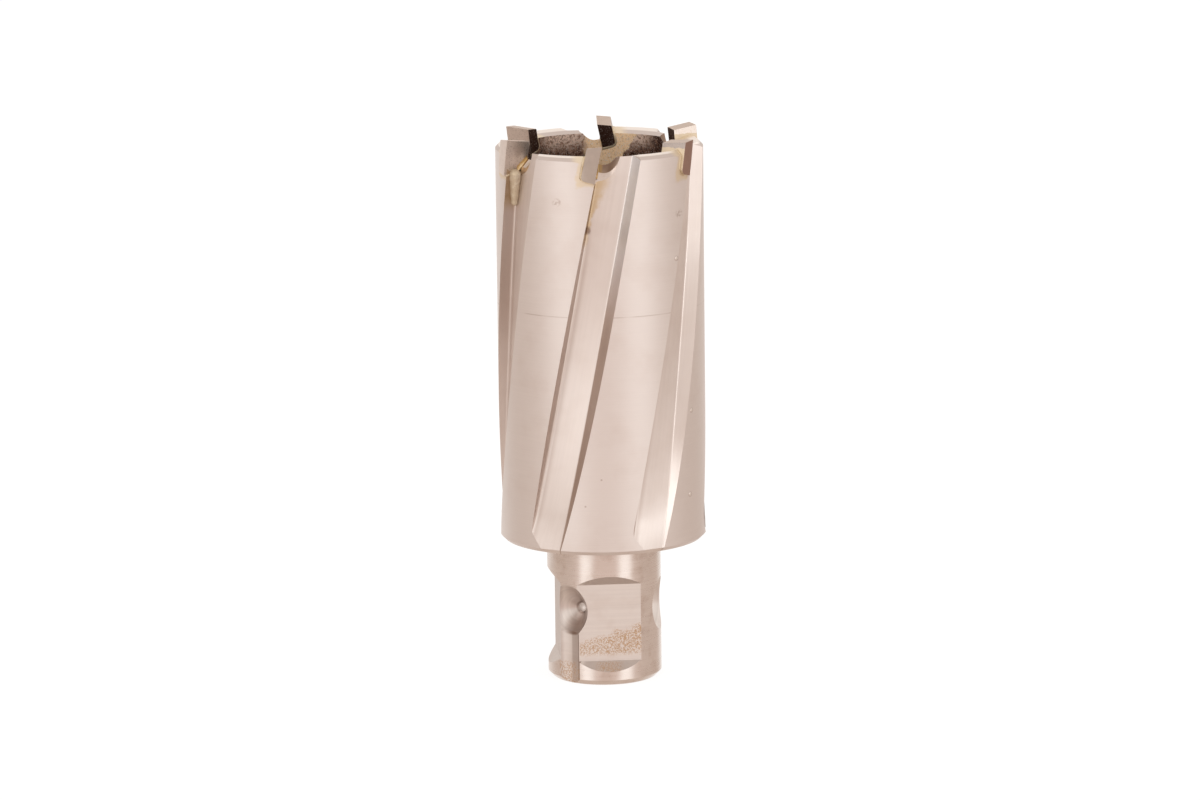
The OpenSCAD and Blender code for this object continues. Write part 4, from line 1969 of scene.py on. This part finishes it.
@dataclass
class Studio:
    """White table, soft boxes, side panels and the camera, in metres and degrees."""

    target: Vector
    distance: float = 1.0
    elevation: float = 11.2
    roll: float = 0.664
    lens: float = 179.4
    sensor: float = 36.0
    shift: Pair = (-0.00174, 0.0032)
    near_clip: float = 0.01
    box_azimuth: float = 42.0
    box_elevation: float = 20.0
    box_distance: float = 0.75
    box_size: Pair = (0.26, 0.5)
    box_power: float = 0.5
    table_r: float = 4.0
    table_steps: int = 96
    table_tone: str = "F4F4F4"
    table_glow: float = 1.1
    table_white: float = 0.8
    room: Colour = (0.72, 0.565, 0.495, 1.0)
    room_middle: float = 4.0
    dark_side: Colour = (0.58, 0.46, 0.39, 1.0)
    dark_fade: Pair = (30.0, 95.0)
    panel: Colour = (1.1, 1.02, 0.97, 1.0)
    panels: Places = ((-37.0, 13.0), (44.0, 14.0))
    panel_soft: float = 6.0
    behind: Colour = (0.95, 0.9, 0.86, 1.0)
    behind_middle: float = 8.0
    behind_fade: Pair = (122.0, 155.0)
    upper: Colour = (0.98, 0.92, 0.87, 1.0)
    upper_fade: Pair = (-0.14, 0.2)
    upper_share: float = 0.72
    ceiling: Colour = (0.98, 0.9, 0.84, 1.0)
    ceiling_fade: Pair = (0.45, 0.8)
    under: Colour = (0.66, 0.53, 0.45, 1.0)
    under_fade: Pair = (-0.4, -0.85)

    def camera(self) -> None:
        """Set up the camera at the photograph's viewing angle."""
        tilt = math.radians(self.elevation)
        lean = math.radians(self.roll)
        back = Vector((0, -math.cos(tilt), math.sin(tilt)))
        right = Vector((1, 0, 0))
        up = Vector((0, math.sin(tilt), math.cos(tilt)))
        x_axis = right * math.cos(lean) - up * math.sin(lean)
        y_axis = right * math.sin(lean) + up * math.cos(lean)
        data = bpy.data.cameras.new("camera")
        data.lens = self.lens
        data.sensor_width = self.sensor
        data.shift_x, data.shift_y = self.shift
        data.clip_start = self.near_clip
        made = linked("camera", data)
        place = Matrix((x_axis, y_axis, back)).transposed().to_4x4()
        place.translation = self.target + back * self.distance
        made.matrix_world = place
        bpy.context.scene.camera = made

    def soft_box(self, name: str, azimuth: float) -> None:
        """Hang one rectangular lamp that faces the cutter.

        Args:
            name: Name of the lamp.
            azimuth: Angle from the front towards +X.
        """
        data = bpy.data.lights.new(name, "AREA")
        data.shape = "RECTANGLE"
        data.size, data.size_y = self.box_size
        data.energy = self.box_power
        made = linked(name, data)
        tilt = math.radians(self.box_elevation)
        out = polar(math.cos(tilt), azimuth, math.sin(tilt))
        made.location = self.target + out * self.box_distance
        made.rotation_euler = (-out).to_track_quat("-Z", "Y").to_euler()

    def table(self) -> None:
        """Lay a wide white table that keeps a soft shadow and lets the steel mirror the room."""
        bm = bmesh.new()
        bmesh.ops.create_circle(bm, cap_ends=True, radius=self.table_r, segments=self.table_steps)
        g = Graph.material("white_table")
        seen = g.ray("Is Camera Ray").at_least(g.ray("Is Transmission Ray"))
        clear = g.signal("ShaderNodeBsdfTransparent", {}, {})
        matt = g.signal("ShaderNodeBsdfDiffuse", {}, {"Color": linear(self.table_tone)})
        glow = g.signal("ShaderNodeEmission", {}, {"Color": WHITE, "Strength": self.table_glow})
        near = g.signal("ShaderNodeMixShader", {}, {0: seen * self.table_white, 1: matt, 2: glow})
        both = g.signal("ShaderNodeMixShader", {}, {0: g.ray("Is Glossy Ray"), 1: near, 2: clear})
        g.node("ShaderNodeOutputMaterial", {}, {0: both})
        as_object(bm, "table", [g.owner])

    def sky(self) -> None:
        """Light the room by direction: two tall pale panels in a warm dim room, and white behind."""
        world = bpy.data.worlds.new("studio")
        bpy.context.scene.world = world
        g = Graph(world)
        x, y, z = g.axes("Generated")
        azimuth = g.math("ARCTAN2", x, -y) * DEGREES_PER_RADIAN
        colour = g.mix(abs(azimuth - self.room_middle).rise(*self.dark_fade), self.room, self.dark_side)
        for middle, half in self.panels:
            lit = abs(azimuth - middle).rise(half + self.panel_soft, half - self.panel_soft)
            colour = g.mix(lit, colour, self.panel)
        colour = g.mix(abs(azimuth - self.behind_middle).rise(*self.behind_fade), colour, self.behind)
        colour = g.mix(z.rise(*self.upper_fade) * self.upper_share, colour, self.upper)
        colour = g.mix(z.rise(*self.ceiling_fade), colour, self.ceiling)
        colour = g.mix(z.rise(*self.under_fade), colour, self.under)
        colour = g.mix(g.ray("Is Camera Ray"), colour, WHITE)
        back = g.signal("ShaderNodeBackground", {}, {"Color": colour})
        g.node("ShaderNodeOutputWorld", {}, {0: back})

    def build(self) -> None:
        """Set up the whole studio."""
        bpy.context.scene.view_settings.view_transform = "Standard"
        self.camera()
        self.sky()
        self.table()
        self.soft_box("left_box", -self.box_azimuth)
        self.soft_box("right_box", self.box_azimuth)


def measured_body() -> CutterBody:
    """Take the body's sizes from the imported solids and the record's mounts.

    Returns:
        The body, without its finishes.
    """
    mounts = {m["name"]: m for m in frame["record"]["mounts"]}
    mm = {name: Vector(m["pos_m"]) / METRES_PER_MM for name, m in mounts.items()}
    low, high = [corner / METRES_PER_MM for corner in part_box("cutter_body")]
    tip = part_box("carbide_tooth_1")[1].z / METRES_PER_MM
    flats = [mm["drive_flat_front"], mm["drive_flat_side"]]
    dimple = mm["ball_dimples"]
    return CutterBody(
        flutes=FluteForm(body_r=(high.x - low.x) / 2, shoulder_z=mm["shoulder"].z, rim_z=high.z, tip_z=tip),
        inserts=InsertForm(),
        shank_r=dimple.xy.length,
        pilot_r=mounts["pilot_bore"]["dims"]["r_mm"],
        flat_r=flats[0].xy.length,
        flat_angles=[angle_of(p) for p in flats],
        flat_mid_z=flats[0].z,
        dimple_angle=angle_of(dimple),
        dimple_z=dimple.z,
    )


def main() -> None:
    """Build the pieces in order, then the studio round them."""
    logging.basicConfig(level=logging.INFO, format="%(name)s: %(message)s")
    body = measured_body()
    form = body.flutes
    finishes = {
        Region.LAND: LandSteel(form),
        Region.FLUTE: FluteSteel(form),
        Region.SHANK: ShankSteel(form.shoulder_z),
        Region.MILLED: MilledSteel(body),
        Region.CORE: CoreSteel(),
        Region.GULLET: GulletSteel(form),
    }
    body.finishes = [finishes[region].material() for region in Region]
    body.build()
    coat_rise = 0.3
    facets = ToothFinishes(form.rim_z + coat_rise)
    braze = Braze("set_braze", "E0D0B4", "F0E7D6", "BFA582").material()
    dull_braze = Braze("dull_braze", "CDAC74", "E6D0A6", "86612F").material()
    pale_braze = Braze("pale_braze", "CFBFA6", "E0D4C0", "AE957A", 0.4, 0.6).material()
    for k in range(form.count):
        CarbideInsert(f"carbide_tooth_{k + 1}", facets.of_tooth(k + 1)).build()
        BrazeSeam(f"braze_seam_{k + 1}", braze).build()
        GulletFillet(body, k, dull_braze).build()
    BrazeRun(body, form.count - 1, pale_braze).build()
    middle_z = 0.0462
    Studio(target=Vector((0, 0, middle_z))).build()


if __name__ == "__main__":
    main()
